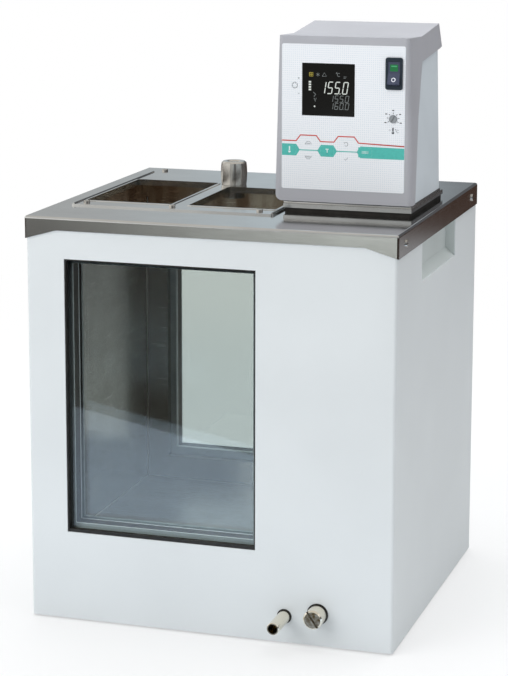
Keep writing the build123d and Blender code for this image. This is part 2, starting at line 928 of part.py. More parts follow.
def make_drain_pipe():
    """The pipe from the tank's floor, round one bend, to the back of the valve block."""
    top = tank_floor - tank_sheet
    with BuildPart() as drain_pipe:
        with BuildLine(side_plane(pipe_x)):
            FilletPolyline((pipe_y, top), (pipe_y, valve_z), (valve_back, valve_z), radius=pipe_bend)
        with BuildSketch(Plane(origin=(pipe_x, pipe_y, top), z_dir=(0, 0, -1))):
            Circle(pipe_radius)
            Circle(pipe_bore, mode=Mode.SUBTRACT)
        sweep()
    save(drain_pipe, "drain_pipe")


def make_drain_valve_body():
    """The brass block behind the casing that carries the nozzle and the drain screw."""
    inner_face = casing_front + casing_sheet
    passage_y = inner_face + valve_bore_depth
    with BuildPart() as drain_valve_body:
        with BuildSketch(front_plane(inner_face)):
            with Locations(((valve_left + valve_right) / 2, (valve_low + valve_high) / 2)):
                Rectangle(valve_right - valve_left, valve_high - valve_low)
        extrude(amount=-valve_length)
        with BuildSketch(front_plane(inner_face)):
            with Locations((nozzle_x, nozzle_z)):
                Circle(nozzle_thread_radius + drain_clearance)
        extrude(amount=-nozzle_thread, mode=Mode.SUBTRACT)
        with BuildSketch(front_plane(inner_face)):
            with Locations((nozzle_x, nozzle_z)):
                Circle(nozzle_bore)
        extrude(amount=-(valve_bore_depth + valve_bore), mode=Mode.SUBTRACT)
        with BuildSketch(front_plane(inner_face)):
            with Locations((drain_screw_x, drain_screw_z)):
                Circle(drain_spindle + drain_clearance)
        extrude(amount=-(drain_spindle_length + drain_end_gap), mode=Mode.SUBTRACT)
        with BuildSketch(front_plane(valve_back)):
            with Locations((pipe_x, valve_z)):
                Circle(pipe_bore)
        extrude(amount=valve_length - drain_spindle_length, mode=Mode.SUBTRACT)
        with BuildSketch(side_plane(nozzle_x)):
            with Locations((passage_y, valve_z - valve_bore_drop)):
                Circle(valve_bore)
        extrude(amount=drain_screw_x - nozzle_x, mode=Mode.SUBTRACT)
    save(drain_valve_body, "drain_valve_body")


def make_drain_nozzle():
    """The hollow hose nozzle: its shoulder seats on a washer, its thread in the valve block."""
    tip_y = -back_y
    shoulder_y = casing_front - washer_sheet
    thread_end = casing_front + casing_sheet + nozzle_thread
    with BuildPart() as drain_nozzle:
        with BuildSketch(front_plane(shoulder_y)):
            with Locations((nozzle_x, nozzle_z)):
                Circle(nozzle_radius)
        extrude(amount=shoulder_y - tip_y)
        tip = drain_nozzle.edges().group_by(Axis.Y)[0]
        chamfer(tip, nozzle_chamfer)
        with BuildSketch(front_plane(thread_end)):
            with Locations((nozzle_x, nozzle_z)):
                Circle(nozzle_thread_radius)
        extrude(amount=thread_end - shoulder_y)
        with BuildSketch(front_plane(thread_end)):
            with Locations((nozzle_x, nozzle_z)):
                Circle(nozzle_bore)
        extrude(amount=thread_end - tip_y, mode=Mode.SUBTRACT)
    save(drain_nozzle, "drain_nozzle")


def make_drain_screw():
    """The slotted drain screw and its spindle, one turned piece."""
    seat = casing_front - washer_sheet
    with BuildPart() as drain_screw:
        with BuildSketch(front_plane(seat - screw_gap)):
            with Locations((drain_screw_x, drain_screw_z)):
                Circle(drain_screw_radius)
        extrude(amount=drain_screw_length - washer_sheet)
        crown = drain_screw.edges().group_by(Axis.Y)[0]
        chamfer(crown, drain_screw_chamfer)
        face_y = seat - screw_gap - drain_screw_length + washer_sheet
        with BuildSketch(front_plane(face_y + drain_slot_depth)):
            with Locations((drain_screw_x, drain_screw_z)):
                Rectangle(drain_slot_width, 2 * drain_screw_radius, rotation=drain_slot_turn)
        extrude(amount=2 * drain_slot_depth, mode=Mode.SUBTRACT)
        with BuildSketch(front_plane(seat - screw_gap)):
            with Locations((drain_screw_x, drain_screw_z)):
                Circle(drain_spindle)
        spindle_end = casing_front + casing_sheet + drain_spindle_length
        extrude(amount=-(spindle_end - seat + screw_gap))
    save(drain_screw, "drain_screw")


def make_drain_washers():
    """A black washer under the drain screw's head and one round the nozzle."""
    with BuildPart() as drain_washers:
        with BuildSketch(front_plane(casing_front)):
            with Locations((drain_screw_x, drain_screw_z)):
                Circle(drain_screw_radius + washer_lip)
                Circle(drain_spindle + 2 * screw_gap, mode=Mode.SUBTRACT)
            with Locations((nozzle_x, nozzle_z)):
                Circle(nozzle_radius + washer_lip)
                Circle(nozzle_thread_radius + drain_clearance, mode=Mode.SUBTRACT)
        extrude(amount=washer_sheet)
    save(drain_washers, "drain_washers")


def make_flange_seal():
    """The black rubber frame between the rim and the head's flange."""
    with BuildPart() as flange_seal:
        with BuildSketch(level(rim_top)):
            with Locations((flange_x, flange_y)):
                Rectangle(flange_width - 2 * seal_inset, flange_depth - 2 * seal_inset)
                Rectangle(
                    flange_width - 2 * seal_inset - 2 * seal_frame,
                    flange_depth - 2 * seal_inset - 2 * seal_frame,
                    mode=Mode.SUBTRACT,
                )
            with Locations(*flange_screw_places):
                Circle(flange_screw_shank + screw_gap, mode=Mode.SUBTRACT)
        extrude(amount=flange_seal_height)
    save(flange_seal, "flange_seal")


def make_head_flange():
    """The metal plate that carries the head, with holes for what hangs below it."""
    with BuildPart() as head_flange:
        with BuildSketch(level(flange_z)):
            with Locations((flange_x, flange_y)):
                Rectangle(flange_width, flange_depth)
            with Locations(*flange_screw_places):
                Circle(flange_screw_shank + screw_gap, mode=Mode.SUBTRACT)
            with Locations((pump_x, pump_y)):
                Circle(shaft_radius + 1.0, mode=Mode.SUBTRACT)
        extrude(amount=flange_height)
        upper = head_flange.faces().sort_by(Axis.Z)[-1].outer_wire().edges()
        fillet(upper, flange_round)
    save(head_flange, "head_flange")


def make_head_gasket():
    """The black gasket between the flange and the head's housing."""
    depth = head_rear - flange_front - 2 * gasket_inset
    with BuildPart() as head_gasket:
        with BuildSketch(level(flange_top)):
            with Locations((flange_x, flange_front + gasket_inset + depth / 2)):
                Rectangle(flange_width - 2 * gasket_inset, depth)
                Rectangle(
                    flange_width - 2 * seal_frame, depth + 2 * gasket_inset - 2 * seal_frame,
                    mode=Mode.SUBTRACT,
                )
        extrude(amount=head_gasket_height)
    save(head_gasket, "head_gasket")


def make_flange_screws():
    """Two screws at the back of the flange that hold the head on the rim."""
    length = flange_height + flange_seal_height + rim_sheet + flange_screw_rise
    screws = [
        pan_screw(
            Plane(origin=(x, y, flange_top)), flange_screw_head, flange_screw_rise,
            flange_screw_shank, length,
        )
        for x, y in flange_screw_places
    ]
    with BuildPart() as flange_screws:
        add(screws)
    save(flange_screws, "flange_screws")


def head_outline(recess, corner):
    """The head from the front, narrower at the top. The corner is the lower left one's radius."""
    above = 2 * hood_rear_rise
    foot = head_foot_half - recess
    top = head_top_half - recess - head_slope * above
    with BuildSketch(front_plane(head_front), mode=Mode.PRIVATE) as outline:
        with BuildLine():
            Polyline(
                (head_x - foot, head_z),
                (head_x + foot, head_z),
                (head_x + top, head_top + above),
                (head_x - top, head_top + above),
                close=True,
            )
        make_face()
        if corner:
            fillet(outline.vertices().group_by(Axis.Y)[0].sort_by(Axis.X)[0], corner)
    return outline.sketch


def frame_seam(gap):
    """The line where the front frame meets the side panel, from the foot to the rear."""
    return [
        (head_front + frame_foot + gap, head_z),
        (head_front + frame_waist + gap, head_z + frame_waist_height),
        (head_front + frame_shoulder + gap, head_top - panel_top_drop - gap),
        (head_front + head_depth, head_top - hood_under_drop - gap),
    ]


def make_head_front_frame():
    """The front frame and the hood in one moulding, hollow, with its openings cut."""
    roof = [
        (head_front, head_top),
        (head_front + head_valley_depth, head_top - head_valley_drop),
        (head_front + hood_rear_depth, head_top + hood_rear_rise),
    ]
    seam = frame_seam(0)
    lip = (head_front + hood_lip_depth, head_top - hood_lip_drop)
    inner_roof = [(y, z - head_wall) for y, z in roof[:2]]
    inner_roof.append((head_rear - head_wall, head_top + hood_rear_rise - 2 * head_wall))
    outer = head_outline(0, 0)
    rounded = head_outline(0, head_foot_corner)
    inner = head_outline(head_wall, head_foot_corner - corner_ease)
    reach = hood_lip_depth + head_wall
    with BuildPart() as cavity:
        add(inner)
        extrude(amount=reach, dir=(0, 1, 0))
        with BuildSketch(side_plane(head_x - 2 * head_foot_half)):
            with BuildLine():
                Polyline(
                    (head_front + head_wall, head_z),
                    (head_front + head_wall, inner_roof[0][1]),
                    inner_roof[1],
                    inner_roof[2],
                    (head_rear - head_wall, head_z),
                    close=True,
                )
            make_face()
        extrude(amount=4 * head_foot_half, mode=Mode.INTERSECT)
    with BuildPart() as head_front_frame:
        add(outer)
        extrude(amount=reach, dir=(0, 1, 0))
        with BuildSketch(side_plane(head_x - 2 * head_foot_half)):
            with BuildLine():
                Polyline(
                    (head_front, head_z), *roof, lip, *reversed(seam), close=True
                )
            make_face()
        extrude(amount=4 * head_foot_half, mode=Mode.INTERSECT)
        front = head_front_frame.faces().sort_by(Axis.Y)[0]
        uprights = front.edges().filter_by(is_upright)
        fillet(uprights, head_corner)
        add(rounded)
        extrude(amount=reach, dir=(0, 1, 0), mode=Mode.INTERSECT)
        add(cavity.part, mode=Mode.SUBTRACT)
        with BuildSketch(front_plane(sheet_back)):
            with Locations((head_x, sheet_z)):
                RectangleRounded(
                    sheet_width + 2 * fit_gap, sheet_height + 2 * fit_gap, sheet_corner + fit_gap
                )
        extrude(amount=head_wall, mode=Mode.SUBTRACT)
        with BuildSketch(front_plane(sheet_face + display_glass)):
            with Locations(display_place):
                Rectangle(display_width + 2 * fit_gap, display_tall + 2 * fit_gap)
        extrude(amount=head_wall, mode=Mode.SUBTRACT)
        with BuildSketch(front_plane(head_front)):
            with Locations(display_place):
                Rectangle(display_width - 2 * display_ledge, display_tall - 2 * display_ledge)
            with Locations(rocker_place):
                Rectangle(rocker_body_width + 2 * fit_gap, rocker_body_tall + 2 * fit_gap)
            with Locations(adjuster_place):
                Circle(adjuster_radius + fit_gap)
            with Locations(*key_places.values()):
                Circle(key_stem + key_gap)
        extrude(amount=-2 * head_wall, mode=Mode.SUBTRACT)
        with BuildSketch(front_plane(sheet_face + key_thickness + key_travel + fit_gap)):
            with Locations(*key_places.values()):
                Rectangle(key_width + 2 * key_gap, key_tall + 2 * key_gap)
        extrude(amount=head_wall, mode=Mode.SUBTRACT)
    save(head_front_frame, "head_front_frame")


def make_head_body():
    """The side and rear walls of the head in one moulding, with the inlet and the vents."""
    outer = head_outline(panel_recess, 0)
    rounded = head_outline(panel_recess, head_foot_corner)
    inner = head_outline(panel_recess + head_wall, head_foot_corner - corner_ease)
    seam = frame_seam(head_seam)
    with BuildPart() as cavity:
        add(inner)
        extrude(amount=head_depth - head_wall, dir=(0, 1, 0))
    with BuildPart() as head_body:
        add(outer)
        extrude(amount=head_depth, dir=(0, 1, 0))
        with BuildSketch(side_plane(head_x - 2 * head_foot_half)):
            with BuildLine():
                Polyline(*seam, (head_rear, head_z), close=True)
            make_face()
        extrude(amount=4 * head_foot_half, mode=Mode.INTERSECT)
        rear = head_body.faces().sort_by(Axis.Y)[-1]
        uprights = rear.edges().filter_by(is_upright)
        fillet(uprights, body_corner)
        add(rounded)
        extrude(amount=head_depth, dir=(0, 1, 0), mode=Mode.INTERSECT)
        add(cavity.part, mode=Mode.SUBTRACT)
        with BuildSketch(front_plane(head_rear)):
            with Locations(inlet_place):
                Rectangle(inlet_width + 2 * fit_gap, inlet_tall + 2 * fit_gap)
            with Locations(*vent_places):
                SlotOverall(vent_width, vent_tall)
        extrude(amount=2 * head_wall, mode=Mode.SUBTRACT)
    save(head_body, "head_body")


def make_head_chassis():
    """The metal plate inside the head that carries the motor and the electronics."""
    half = head_foot_half - panel_recess - head_wall - chassis_gap - head_foot_corner
    front = head_front + head_wall + chassis_gap
    rear = head_rear - head_wall - chassis_gap
    with BuildPart() as head_chassis:
        with BuildSketch(level(head_z)):
            with Locations((head_x, (front + rear) / 2)):
                Rectangle(2 * half, rear - front)
            with Locations((pump_x, pump_y)):
                Circle(chassis_hole, mode=Mode.SUBTRACT)
        extrude(amount=chassis_sheet)
    save(head_chassis, "head_chassis")


def make_front_sheet():
    """The thin white sheet on the head's front, with holes for all that shows through."""
    with BuildPart() as front_sheet:
        with BuildSketch(front_plane(sheet_back)):
            with Locations((head_x, sheet_z)):
                RectangleRounded(sheet_width, sheet_height, sheet_corner)
            with Locations(display_place):
                Rectangle(
                    display_width + 2 * fit_gap, display_tall + 2 * fit_gap, mode=Mode.SUBTRACT
                )
            with Locations(rocker_place):
                Rectangle(
                    rocker_body_width + 2 * fit_gap, rocker_body_tall + 2 * fit_gap,
                    mode=Mode.SUBTRACT,
                )
            with Locations(adjuster_place):
                Circle(adjuster_radius + fit_gap, mode=Mode.SUBTRACT)
            with Locations(*key_places.values()):
                Rectangle(key_width + 2 * key_gap, key_tall + 2 * key_gap, mode=Mode.SUBTRACT)
        extrude(amount=sheet_thickness)
    save(front_sheet, "front_sheet")


def make_display():
    """The display: its glass, the lit module behind it and the circuit board it sits on."""
    glass_back = sheet_face + display_glass
    with BuildPart() as display_glass_pane:
        with BuildSketch(front_plane(glass_back)):
            with Locations(display_place):
                Rectangle(display_width, display_tall)
        extrude(amount=display_glass)
    save(display_glass_pane, "display_glass")
    with BuildPart() as display_module:
        with BuildSketch(front_plane(board_front)):
            with Locations(display_place):
                Rectangle(
                    display_width - 2 * display_ledge - 2 * fit_gap,
                    display_tall - 2 * display_ledge - 2 * fit_gap,
                )
        extrude(amount=lcd_depth)
    save(display_module, "display_module")
    with BuildPart() as front_board:
        with BuildSketch(front_plane(board_front)):
            with Locations((head_x + key_middle_x, head_z + board_foot + board_tall / 2)):
                Rectangle(board_width, board_tall)
        extrude(amount=-board_sheet)
    save(front_board, "front_board")


def make_keys():
    """Seven keys, flush with the front sheet, each with a stem that reaches its switch."""
    for name, place in key_places.items():
        with BuildPart() as key:
            with BuildSketch(front_plane(sheet_face + key_thickness)):
                with Locations(place):
                    RectangleRounded(key_width, key_tall, key_corner)
            extrude(amount=key_thickness)
            with BuildSketch(front_plane(sheet_face + key_thickness)):
                with Locations(place):
                    Circle(key_stem)
            extrude(amount=-(board_front - sheet_face - key_thickness - key_travel - fit_gap))
        save(key, name)


def make_mains_switch():
    """The rocker switch: a framed housing and a paddle that is pressed in at its top."""
    x, z = rocker_place
    pivot_y = sheet_face + paddle_pivot_depth
    with BuildPart() as rocker_housing:
        with BuildSketch(front_plane(sheet_face)):
            with Locations(rocker_place):
                RectangleRounded(rocker_bezel_width, rocker_bezel_tall, rocker_bezel_corner)
        extrude(amount=rocker_bezel_proud)
        with BuildSketch(front_plane(sheet_face)):
            with Locations(rocker_place):
                Rectangle(rocker_body_width, rocker_body_tall)
        extrude(amount=-rocker_body_depth)
        with BuildSketch(side_plane(x)):
            with Locations((pivot_y, z)):
                Circle(paddle_radius + paddle_end_gap)
        extrude(amount=paddle_width / 2 + paddle_gap, both=True, mode=Mode.SUBTRACT)
        with BuildSketch(side_plane(x)):
            with Locations((pivot_y, z)):
                Circle(paddle_pin + pin_clearance)
        extrude(amount=paddle_width / 2 + paddle_pin_length + fit_gap, both=True, mode=Mode.SUBTRACT)
    save(rocker_housing, "rocker_housing")
    tilt = radians(-paddle_tilt)
    swing = Plane(origin=(x, pivot_y, z), x_dir=(0, cos(tilt), sin(tilt)), z_dir=(1, 0, 0))
    end = -(paddle_pivot_depth + rocker_bezel_proud + paddle_rise)
    middle = -(paddle_pivot_depth + rocker_bezel_proud - paddle_dip)
    with BuildPart() as rocker_paddle:
        with BuildSketch(swing):
            Circle(paddle_radius)
            with BuildLine():
                Polyline(
                    (end, paddle_radius),
                    (middle, 0),
                    (end, -paddle_radius),
                    (paddle_back, -paddle_radius),
                    (paddle_back, paddle_radius),
                    close=True,
                )
            make_face(mode=Mode.INTERSECT)
        extrude(amount=paddle_width / 2, both=True)
        with BuildSketch(swing):
            Circle(paddle_pin)
        extrude(amount=paddle_width / 2 + paddle_pin_length, both=True)
    save(rocker_paddle, "rocker_paddle")


def make_adjuster():
    """The slotted over-temperature adjuster and the control that it turns."""
    head_back = sheet_face + adjuster_head - adjuster_proud
    shaft_end = head_back + adjuster_shaft_length
    with BuildPart() as adjuster_screw:
        with BuildSketch(front_plane(head_back)):
            with Locations(adjuster_place):
                Circle(adjuster_radius)
        extrude(amount=adjuster_head)
        with BuildSketch(front_plane(sheet_face - adjuster_proud + screw_slot_depth)):
            with Locations(adjuster_place):
                Rectangle(screw_slot_width, 2 * adjuster_radius, rotation=adjuster_slot_turn)
        extrude(amount=adjuster_head, mode=Mode.SUBTRACT)
        with BuildSketch(front_plane(head_back)):
            with Locations(adjuster_place):
                Circle(adjuster_shaft)
        extrude(amount=-adjuster_shaft_length)
    save(adjuster_screw, "adjuster_screw")
    with BuildPart() as adjuster_body:
        with BuildSketch(front_plane(wall_back)):
            with Locations(adjuster_place):
                Rectangle(pot_width, pot_width)
        extrude(amount=-pot_depth)
        with BuildSketch(front_plane(wall_back)):
            with Locations(adjuster_place):
                Circle(adjuster_shaft + adjuster_clearance)
        extrude(amount=-(shaft_end - wall_back + adjuster_end_gap), mode=Mode.SUBTRACT)
    save(adjuster_body, "adjuster_body")


def make_mains_inlet():
    """The mains inlet socket in the rear wall, with its three blades."""
    x, z = inlet_place
    floor_y = head_rear - head_wall - inlet_depth
    blade_places = [
        (x - inlet_pin_pitch, z - inlet_pin_shift),
        (x, z + inlet_pin_shift),
        (x + inlet_pin_pitch, z - inlet_pin_shift),
    ]
    with BuildPart() as mains_inlet:
        with BuildSketch(front_plane(floor_y)):
            with Locations(inlet_place):
                Rectangle(inlet_width, inlet_tall)
        extrude(amount=-(head_rear - floor_y))
        with BuildSketch(front_plane(head_rear)):
            with Locations(inlet_place):
                RectangleRounded(
                    inlet_width + 2 * inlet_lip, inlet_tall + 2 * inlet_lip, inlet_lip
                )
        extrude(amount=-inlet_lip_sheet)
        with BuildSketch(front_plane(floor_y + inlet_floor)):
            with Locations(inlet_place):
                Rectangle(inlet_width - 2 * inlet_wall, inlet_tall - 2 * inlet_wall)
        extrude(amount=-2 * inlet_depth, mode=Mode.SUBTRACT)
        with BuildSketch(front_plane(floor_y + inlet_floor)):
            with Locations(*blade_places):
                Rectangle(inlet_pin_width, inlet_pin_tall)
        extrude(amount=-inlet_pin_length)
    save(mains_inlet, "mains_inlet")


def make_electronics():
    """The main circuit board and the mains transformer, both on the chassis."""
    with BuildPart() as main_board:
        with BuildSketch(front_plane(board_y)):
            with Locations((head_x, chassis_top + main_board_tall / 2)):
                Rectangle(main_board_width, main_board_tall)
        extrude(amount=-board_sheet)
        with BuildSketch(front_plane(board_y + board_sheet)):
            with Locations(*part_places):
                Rectangle(board_part_width, board_part_tall)
        extrude(amount=-board_part_depth)
    save(main_board, "main_board")
    core_y = board_y + board_sheet + board_part_depth + transformer_gap + transformer_depth / 2
    core_x = head_x - main_board_width / 2 + transformer_from_left + transformer_width / 2
    with BuildPart() as transformer:
        with BuildSketch(level(chassis_top)):
            with Locations((core_x, core_y)):
                Rectangle(transformer_width, transformer_depth - 2 * coil_proud)
        extrude(amount=transformer_height)
        with BuildSketch(level(chassis_top + coil_border)):
            with Locations((core_x, core_y)):
                RectangleRounded(
                    transformer_width - 2 * coil_border, transformer_depth, coil_corner
                )
        extrude(amount=transformer_height - 2 * coil_border)
    save(transformer, "transformer")


def make_motor():
    """The pump motor's housing, with a bearing bore right through for the shaft."""
    with BuildPart() as pump_motor:
        with BuildSketch(level(chassis_top)):
            with Locations((pump_x, pump_y)):
                Circle(motor_radius)
                Circle(shaft_radius + bearing_clearance, mode=Mode.SUBTRACT)
        extrude(amount=motor_height)
        rims = pump_motor.faces().filter_by(Axis.Z)
        chamfer([edge for face in rims for edge in face.outer_wire().edges()], motor_chamfer)
    save(pump_motor, "pump_motor")


def make_pump_rotor():
    """What the motor turns: the shaft, the impeller in the water and the cooling fan."""
    with BuildPart() as pump_shaft:
        with BuildSketch(level(impeller_z)):
            with Locations((pump_x, pump_y)):
                Circle(shaft_radius)
        extrude(amount=fan_z + fan_height - impeller_z)
    save(pump_shaft, "pump_shaft")
    for label, z, hub, disc, height, radius, count, blade in (
        ("pump_impeller", impeller_z, impeller_hub, impeller_disc,
         impeller_height, impeller_radius, vane_count, vane_sheet),
        ("cooling_fan", fan_z, fan_hub, impeller_disc,
         fan_height, fan_radius, fan_blades, blade_sheet),
    ):
        with BuildPart() as wheel:
            with BuildSketch(level(z)):
                with Locations((pump_x, pump_y)):
                    Circle(radius)
            extrude(amount=disc)
            with BuildSketch(level(z)):
                with Locations((pump_x, pump_y)):
                    Circle(hub)
                    with PolarLocations((hub + radius) / 2, count):
                        Rectangle(radius - hub, blade, rotation=blade_lean)
            extrude(amount=height)
            with BuildSketch(level(z)):
                with Locations((pump_x, pump_y)):
                    Circle(shaft_radius)
            extrude(amount=height, mode=Mode.SUBTRACT)
        save(wheel, label)


def make_pump_housing():
    """The stand pipe below the flange with the pump chamber and its outlet."""
    inner = chamber_radius - chamber_wall
    outlet_z = chamber_low + chamber_height / 2
    with BuildPart() as pump_housing:
        with BuildSketch(level(chamber_top)):
            with Locations((pump_x, pump_y)):
                Circle(pump_tube_radius)
        extrude(amount=pump_tube_length)
        with BuildSketch(level(chamber_low)):
            with Locations((pump_x, pump_y)):
                Circle(chamber_radius)
        extrude(amount=chamber_height)
        with BuildSketch(front_plane(pump_y)):
            with Locations((pump_x, outlet_z)):
                Circle(outlet_radius)
        extrude(amount=chamber_radius + outlet_length)
        with BuildSketch(level(chamber_low + chamber_wall)):
            with Locations((pump_x, pump_y)):
                Circle(inner)
        extrude(amount=chamber_height - 2 * chamber_wall, mode=Mode.SUBTRACT)
        with BuildSketch(level(chamber_low)):
            with Locations((pump_x, pump_y)):
                Circle(chamber_inlet)
        extrude(amount=chamber_wall, mode=Mode.SUBTRACT)
        with BuildSketch(front_plane(pump_y)):
            with Locations((pump_x, outlet_z)):
                Circle(outlet_radius - pump_tube_wall)
        extrude(amount=chamber_radius + outlet_length, mode=Mode.SUBTRACT)
        with BuildSketch(level(chamber_top)):
            with Locations((pump_x, pump_y)):
                Circle(pump_tube_radius - pump_tube_wall)
        extrude(amount=pump_tube_length, mode=Mode.SUBTRACT)
        with BuildSketch(level(chamber_top - chamber_wall)):
            with Locations((pump_x, pump_y)):
                Circle(shaft_radius + bearing_clearance)
        extrude(amount=chamber_wall, mode=Mode.SUBTRACT)
    save(pump_housing, "pump_housing")


def make_heater():
    """The tubular heater: one steel tube, down, round a half turn and up again."""
    left = flange_left + heater_from_left
    right = left + heater_pitch
    y = flange_front + heater_from_front
    low = flange_z - heater_leg
    with BuildPart() as heater:
        with BuildLine(front_plane(y)) as route:
            Line((left, flange_z), (left, low))
            JernArc((left, low), (0, -1), heater_pitch / 2, half_turn)
            Line((right, low), (right, flange_z))
        with BuildSketch(Plane(origin=(left, y, flange_z), z_dir=(0, 0, -1))):
            Circle(heater_radius)
        sweep(path=route.line)
    save(heater, "heater")


def make_sensor():
    """The temperature sensor, a closed steel tube with a round tip."""
    x = flange_right - sensor_from_right
    y = flange_front + sensor_from_front
    with BuildPart() as temperature_sensor:
        with BuildSketch(level(flange_z)):
            with Locations((x, y)):
                Circle(sensor_radius)
        extrude(amount=-sensor_length)
        fillet(temperature_sensor.faces().sort_by(Axis.Z)[0].edges(), sensor_tip)
    save(temperature_sensor, "temperature_sensor")


def make_level_float():
    """The low-water float and the stem, with two collars, that it slides on."""
    x = flange_x + float_x
    y = flange_front + float_from_front
    upper_stop = flange_z - float_stem_top
    float_top = upper_stop - float_travel - float_stop_gap
    float_low = float_top - float_height
    lower_stop = float_low - float_stop_gap
    with BuildPart() as float_stem:
        with BuildSketch(level(lower_stop - float_collar)):
            with Locations((x, y)):
                Circle(float_stem_radius)
        extrude(amount=flange_z - lower_stop + float_collar)
        for low in (lower_stop - float_collar, upper_stop):
            with BuildSketch(level(low)):
                with Locations((x, y)):
                    Circle(float_collar_radius)
            extrude(amount=float_collar)
    save(float_stem, "float_stem")
    with BuildPart() as level_float:
        with BuildSketch(level(float_low)):
            with Locations((x, y)):
                Circle(float_radius)
        extrude(amount=float_height)
        ends = level_float.faces().filter_by(Axis.Z)
        fillet([edge for face in ends for edge in face.edges()], float_edge)
        with BuildSketch(level(float_low)):
            with Locations((x, y)):
                Circle(float_stem_radius + float_clearance)
        extrude(amount=float_height, mode=Mode.SUBTRACT)
    save(level_float, "level_float")


make_casing_shell()
make_rear_panel()
make_casing_screws()
make_base_plate()
make_rubber_feet()
make_bath_tank()
make_insulation()
make_top_rim()
make_bath_cover()
make_cover_screws()
make_port_plug()
make_grip_cup("grip_cup_right", 1)
make_grip_cup("grip_cup_left", -1)
make_panes()
make_window_seals()
make_drain_pipe()
make_drain_valve_body()
make_drain_nozzle()
make_drain_screw()
make_drain_washers()
make_flange_seal()
make_head_flange()
make_head_gasket()
make_flange_screws()
make_head_front_frame()
make_head_body()
make_head_chassis()
make_front_sheet()
make_display()
make_keys()
make_mains_switch()
make_adjuster()
make_mains_inlet()
make_electronics()
make_motor()
make_pump_rotor()
make_pump_housing()
make_heater()
make_sensor()
make_level_float()
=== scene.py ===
# %% [markdown]
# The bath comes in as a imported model: every sheet, pane, screw and key stands at its real
# size and place already. What is left is the look of it. Each finish is built from noise
# and colour nodes, the printing and the lit figures are added, and a plain studio is set up.
# The frame is loaded first, because every later piece takes its place from it.

# %% Load the frame
import json
from math import cos, pi, radians, sin

import bmesh
import bpy
from mathutils import Matrix, Vector


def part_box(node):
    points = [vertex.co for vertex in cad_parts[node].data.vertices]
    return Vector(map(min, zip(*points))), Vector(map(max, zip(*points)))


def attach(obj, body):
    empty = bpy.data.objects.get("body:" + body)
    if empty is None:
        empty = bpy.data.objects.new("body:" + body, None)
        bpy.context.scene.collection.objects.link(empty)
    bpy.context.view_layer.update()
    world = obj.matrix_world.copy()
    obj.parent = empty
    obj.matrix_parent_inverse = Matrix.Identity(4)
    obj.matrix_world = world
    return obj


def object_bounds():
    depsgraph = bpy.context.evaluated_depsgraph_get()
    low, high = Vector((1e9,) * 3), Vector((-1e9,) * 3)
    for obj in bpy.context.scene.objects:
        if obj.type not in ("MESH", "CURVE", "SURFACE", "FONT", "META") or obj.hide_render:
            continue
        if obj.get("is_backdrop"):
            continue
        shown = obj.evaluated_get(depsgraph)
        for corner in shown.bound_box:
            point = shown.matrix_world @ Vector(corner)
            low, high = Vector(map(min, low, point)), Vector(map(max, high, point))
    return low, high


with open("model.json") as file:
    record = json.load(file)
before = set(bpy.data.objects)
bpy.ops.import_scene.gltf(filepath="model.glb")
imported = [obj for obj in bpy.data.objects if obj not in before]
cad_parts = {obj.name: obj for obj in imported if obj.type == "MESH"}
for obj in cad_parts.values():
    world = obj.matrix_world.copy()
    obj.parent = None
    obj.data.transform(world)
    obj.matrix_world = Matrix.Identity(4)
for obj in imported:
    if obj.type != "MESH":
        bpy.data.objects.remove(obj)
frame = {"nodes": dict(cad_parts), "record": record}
cad_low, cad_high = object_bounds()
scene = bpy.context.scene
MM = 0.001
print("loaded", len(frame["nodes"]), "pieces, box", cad_low, cad_high)

# %% [markdown]
# The camera stands where the photographer stood: about two metres in front, a little to the
# right and above the bath. The lens is long, so upright edges stay nearly parallel. A small
# shift moves the frame sideways and down without tilting the camera, as a view camera does.

# %% Camera
SENSOR = 36.0
LENS = 117.6
CAMERA_PLACE = (0.64717, -2.05068, 0.73666)
CAMERA_YAW = 0.3142
CAMERA_PITCH = 0.1821
SHIFT_ACROSS = 0.0244
SHIFT_UP = -0.1198

camera_data = bpy.data.cameras.new("camera")
camera_data.sensor_width = SENSOR
camera_data.lens = LENS
camera_data.shift_x = SHIFT_ACROSS
camera_data.shift_y = SHIFT_UP
camera_data.clip_end = 50.0
camera = bpy.data.objects.new("camera", camera_data)
camera.location = CAMERA_PLACE
camera.rotation_euler = (pi / 2 - CAMERA_PITCH, 0.0, CAMERA_YAW)
scene.collection.objects.link(camera)
scene.camera = camera
scene.view_settings.view_transform = "Standard"
print("camera with a", LENS, "mm lens at", CAMERA_PLACE)

# %% [markdown]
# A material in Blender is a small network of nodes. A few helpers keep the finishes short: one
# turns a colour as a painter writes it, in hexadecimal sRGB, into the linear values that
# light is computed in, and one adds a node with its settings and links in a single line.
# That one calls a third, which plugs values, colours or other nodes into a node's sockets,
# and takes the two ends of a range as a pair.
# Patterns read Object coordinates scaled to millimetres, so that a grain of 0.5 is 0.5 mm.

# %% Colour and node helpers
def linear(hex_colour):
    """A '#RRGGBB' colour as linear red, green, blue and alpha."""
    shares = [int(hex_colour[i:i + 2], 16) / 255 for i in (1, 3, 5)]
    return [c / 12.92 if c <= 0.04045 else ((c + 0.055) / 1.055) ** 2.4 for c in shares] + [1.0]


def plug(target, inputs):
    """Gives each socket a value, a '#RRGGBB' colour, or the node or output that feeds it."""
    for name, value in inputs.items():
        if name in ("From", "To"):
            plug(target, {name + " Min": value[0], name + " Max": value[1]})
            continue
        if isinstance(value, str):
            value = linear(value)
        if isinstance(value, bpy.types.Node):
            value = value.outputs[0]
        if isinstance(value, bpy.types.NodeSocket):
            target.id_data.links.new(value, target.inputs[name])
        else:
            target.inputs[name].default_value = value


